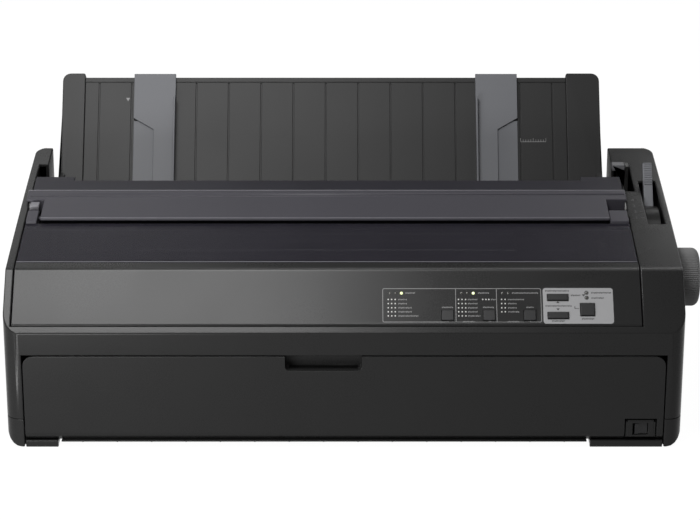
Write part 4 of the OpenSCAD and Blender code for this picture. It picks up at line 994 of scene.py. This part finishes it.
@dataclass
class Levers:
    """Thickness lever with its ribbed grip, and the release lever."""

    grip: Pair = (70.0, 91.0)
    ribs: int = 10
    rib_half: float = 0.55
    rib_inset: float = 0.4
    rib_z: Pair = (-0.4, 0.75)
    face_z: float = 4.0
    face_slope: float = 0.5 / 90
    lever_x: Pair = (290.3, 299.0)
    drum_radius: float = 46.1
    tab_x: float = 275.02

    def build(self) -> None:
        """Makes both levers, each of a light and a dark part, and the ribs."""
        for node, body, plane, place, parts in (
                ("thickness_lever", "thickness", Plane.LEVER, (0, self.drum_radius, 0),
                 ((0, -1, 0, "grip", GRAY), (0, 1, 0, "drum", CHARCOAL))),
                ("release_lever", "release", Plane.BODY, (self.tab_x, 0, 0),
                 ((1, 0, 0, "tab", DIM_GRAY), (-1, 0, 0, "arm", CHARCOAL)))):
            for *outward, part, finish in parts:
                shape = Shape.of_node(node, plane).kept(place, outward).soften(0.5)
                shape.finish(f"{node}_{part}", body, finish, "gray_plastic", [node])
        shape = Shape(Plane.LEVER)
        y0, y1 = self.grip
        for i in range(self.ribs):
            y = y0 + (y1 - y0) * i / (self.ribs - 1)
            face = self.face_z - self.face_slope * y
            shape.block((self.lever_x[0] + self.rib_inset, self.lever_x[1] - self.rib_inset),
                        (y - self.rib_half, y + self.rib_half),
                        (face + self.rib_z[0], face + self.rib_z[1]), 0.25)
        shape.finish("lever_grip_ribs", "thickness", GRAY, "gray_plastic")


@dataclass
class Inside:
    """Mechanism and electronics: CAD nodes that keep their shape and get their finish."""

    nodes: dict[Finish, tuple[str, ...]] = field(default_factory=lambda: {
        RUBBER: ("rubber_feet", "platen_roller", "carriage_belt"),
        BLACK: ("front_paper_guide", "rear_paper_guide", "print_carriage", "ribbon_cartridge", "power_inlet"),
        DARK: ("left_tractor_flap", "right_tractor_flap", "tractor_wheels", "tractor_bodies"),
        NYLON: ("platen_gear", "front_idler_gear", "rear_idler_gear", "tractor_gear", "feed_pinion",
                "drive_pulley", "idler_pulley"),
        PLATED: ("left_side_frame", "right_side_frame", "base_frame", "carriage_rail", "lever_bracket",
                 "power_supply"),
        CAST: ("feed_motor", "carriage_motor", "interface_sockets", "print_head"),
        GROUND: ("platen_shaft", "carriage_shaft", "tractor_drive_shaft", "tractor_support_shaft"),
        BOARD: ("control_circuit_board", "main_circuit_board")})

    def build(self) -> None:
        """Dresses each shown CAD node."""
        finishes = {name: finish for finish, names in self.nodes.items() for name in names}
        for name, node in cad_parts.items():
            if node.hide_render:
                continue
            node.data.materials.clear()
            node.data.materials.append(finishes[name].material())
            log.info("%s: %s", name, finishes[name].name)


# --- studio ---


@dataclass
class Lamp:
    """A rectangular soft light."""

    name: str
    place: tuple[float, float, float]
    target: tuple[float, float, float]
    size: Pair
    power: float

    def build(self) -> None:
        """Makes the light and aims it."""
        light = bpy.data.lights.new(self.name, "AREA")
        light.shape = "RECTANGLE"
        light.size, light.size_y = self.size
        light.energy = self.power
        holder = linked(self.name, light)
        holder.location = self.place
        aim = Vector(self.target) - Vector(self.place)
        holder.rotation_euler = aim.to_track_quat("-Z", "Y").to_euler()


@dataclass
class Studio:
    """Floor that curves up into a low backdrop all round, world, soft lights and camera.

    Lengths are in metres here.
    """

    focal_px: float = 2400.0
    image: Pair = (700.0, 520.0)
    middle_px: float = 344.15
    tilt: float = 19.07
    camera: tuple[float, float, float] = (-0.0116, -2.202712, 0.8788)
    ambient: float = 0.2
    floor_lift: float = 0.85
    floor_glow: float = 1.15
    floor_radius: float = 6.0
    floor_bend: float = 0.8
    floor_gray: float = 0.4
    backdrop_height: float = 1.6
    sensor_mm: float = 36.0
    lamps: list[Lamp] = field(default_factory=lambda: [
        Lamp("key_light", (-0.36, -0.71, 1.35), (-0.32, -0.3, 0.12), (0.68, 0.38), 20.5),
        Lamp("crease_light", (0.1, 0.25, 1.45), (0.05, 0.0, 0.15), (1.9, 0.12), 6.0),
        Lamp("side_light", (-0.5, -0.8, 0.065), (-0.25, -0.2, 0.08), (0.5, 0.12), 5.5),
        Lamp("back_light", (-0.7, 1.6, 1.4), (-0.25, 0.0, 0.15), (0.9, 0.5), 2.6),
        Lamp("deck_light", (0.78, 1.5, 1.2), (0.29, 0.0, 0.18), (0.4, 0.4), 2.6)])

    def build(self) -> None:
        """Makes the whole stage."""
        for lamp in self.lamps:
            lamp.build()
        world = bpy.data.worlds.new("studio_world")
        bpy.context.scene.world = world
        tree = Tree(world)
        back = tree.add("ShaderNodeBackground", None, {"Color": (1, 1, 1, 1), "Strength": self.ambient})
        tree.add("ShaderNodeOutputWorld", None, {"Surface": back.outputs[0]})
        self._floor()
        self._camera()
        bpy.context.scene.view_settings.view_transform = "Standard"

    def _floor(self) -> None:
        """A pale floor that keeps the printer's shadow, white where it is seen."""
        bm = bmesh.new()
        r, h, bend = self.floor_radius, self.backdrop_height, self.floor_bend
        arc = [math.radians(a) for a in range(15, 91, 15)]
        profile = [(0, 0), (r - bend, 0)]
        profile += [(r - bend + bend * math.sin(a), bend * (1 - math.cos(a))) for a in arc] + [(r, h)]
        line = [bm.verts.new((x, 0, z)) for x, z in profile]
        edges = [bm.edges.new(pair) for pair in zip(line, line[1:])]
        bmesh.ops.spin(bm, geom=line + edges, cent=(0, 0, 0), axis=(0, 0, 1), angle=math.tau, steps=64,
                       use_merge=True, use_duplicate=False)
        bmesh.ops.remove_doubles(bm, verts=bm.verts, dist=0.0001)
        bmesh.ops.recalc_face_normals(bm, faces=bm.faces)
        if sum(f.normal.z for f in bm.faces) < 0:
            bmesh.ops.reverse_faces(bm, faces=bm.faces)
        mesh = bpy.data.meshes.new("studio_floor")
        bm.to_mesh(mesh)
        bm.free()
        mesh.polygons.foreach_set("use_smooth", [True] * len(mesh.polygons))
        floor = linked("studio_floor", mesh)
        paper = bpy.data.materials.new("studio_paper")
        tree = Tree(paper)
        rays = tree.add("ShaderNodeLightPath")
        camera, glossy, through = (Value(tree, rays.outputs[n]) for n in
                                   ("Is Camera Ray", "Is Glossy Ray", "Is Transmission Ray"))
        seen = camera.larger(glossy).larger(through)
        matte = tree.add("ShaderNodeBsdfPrincipled", None,
                         {"Base Color": (*(self.floor_gray,) * 3, 1), "Roughness": 0.9,
                          "Specular IOR Level": 0.1})
        white = tree.add("ShaderNodeEmission", None, {"Color": (1, 1, 1, 1), "Strength": self.floor_glow})
        mixed = tree.add("ShaderNodeMixShader", None, {0: seen * self.floor_lift,
                                                       1: matte.outputs[0], 2: white.outputs[0]})
        tree.add("ShaderNodeOutputMaterial", None, {"Surface": mixed.outputs[0]})
        mesh.materials.append(paper)

    def _camera(self) -> None:
        """The photograph's camera."""
        data = bpy.data.cameras.new("photo_camera")
        data.sensor_width = self.sensor_mm
        data.lens = self.focal_px / self.image[0] * self.sensor_mm
        data.shift_x = (self.image[0] / 2 - self.middle_px) / self.image[0]
        data.clip_end = 50
        holder = linked("photo_camera", data)
        holder.location = self.camera
        holder.rotation_euler = (math.radians(90 - self.tilt), 0, 0)
        bpy.context.scene.camera = holder


def main() -> None:
    """Builds the printer and its studio."""
    logging.basicConfig(level=logging.INFO, format="%(name)s %(message)s")
    for assembly in (Case(), ControlPanel(), Covers(), FrontDoor(), SheetGuide(), Knob(), Levers(),
                     Inside(), Studio()):
        log.info("building %s", type(assembly).__name__)
        assembly.build()


if __name__ == "__main__":
    main()
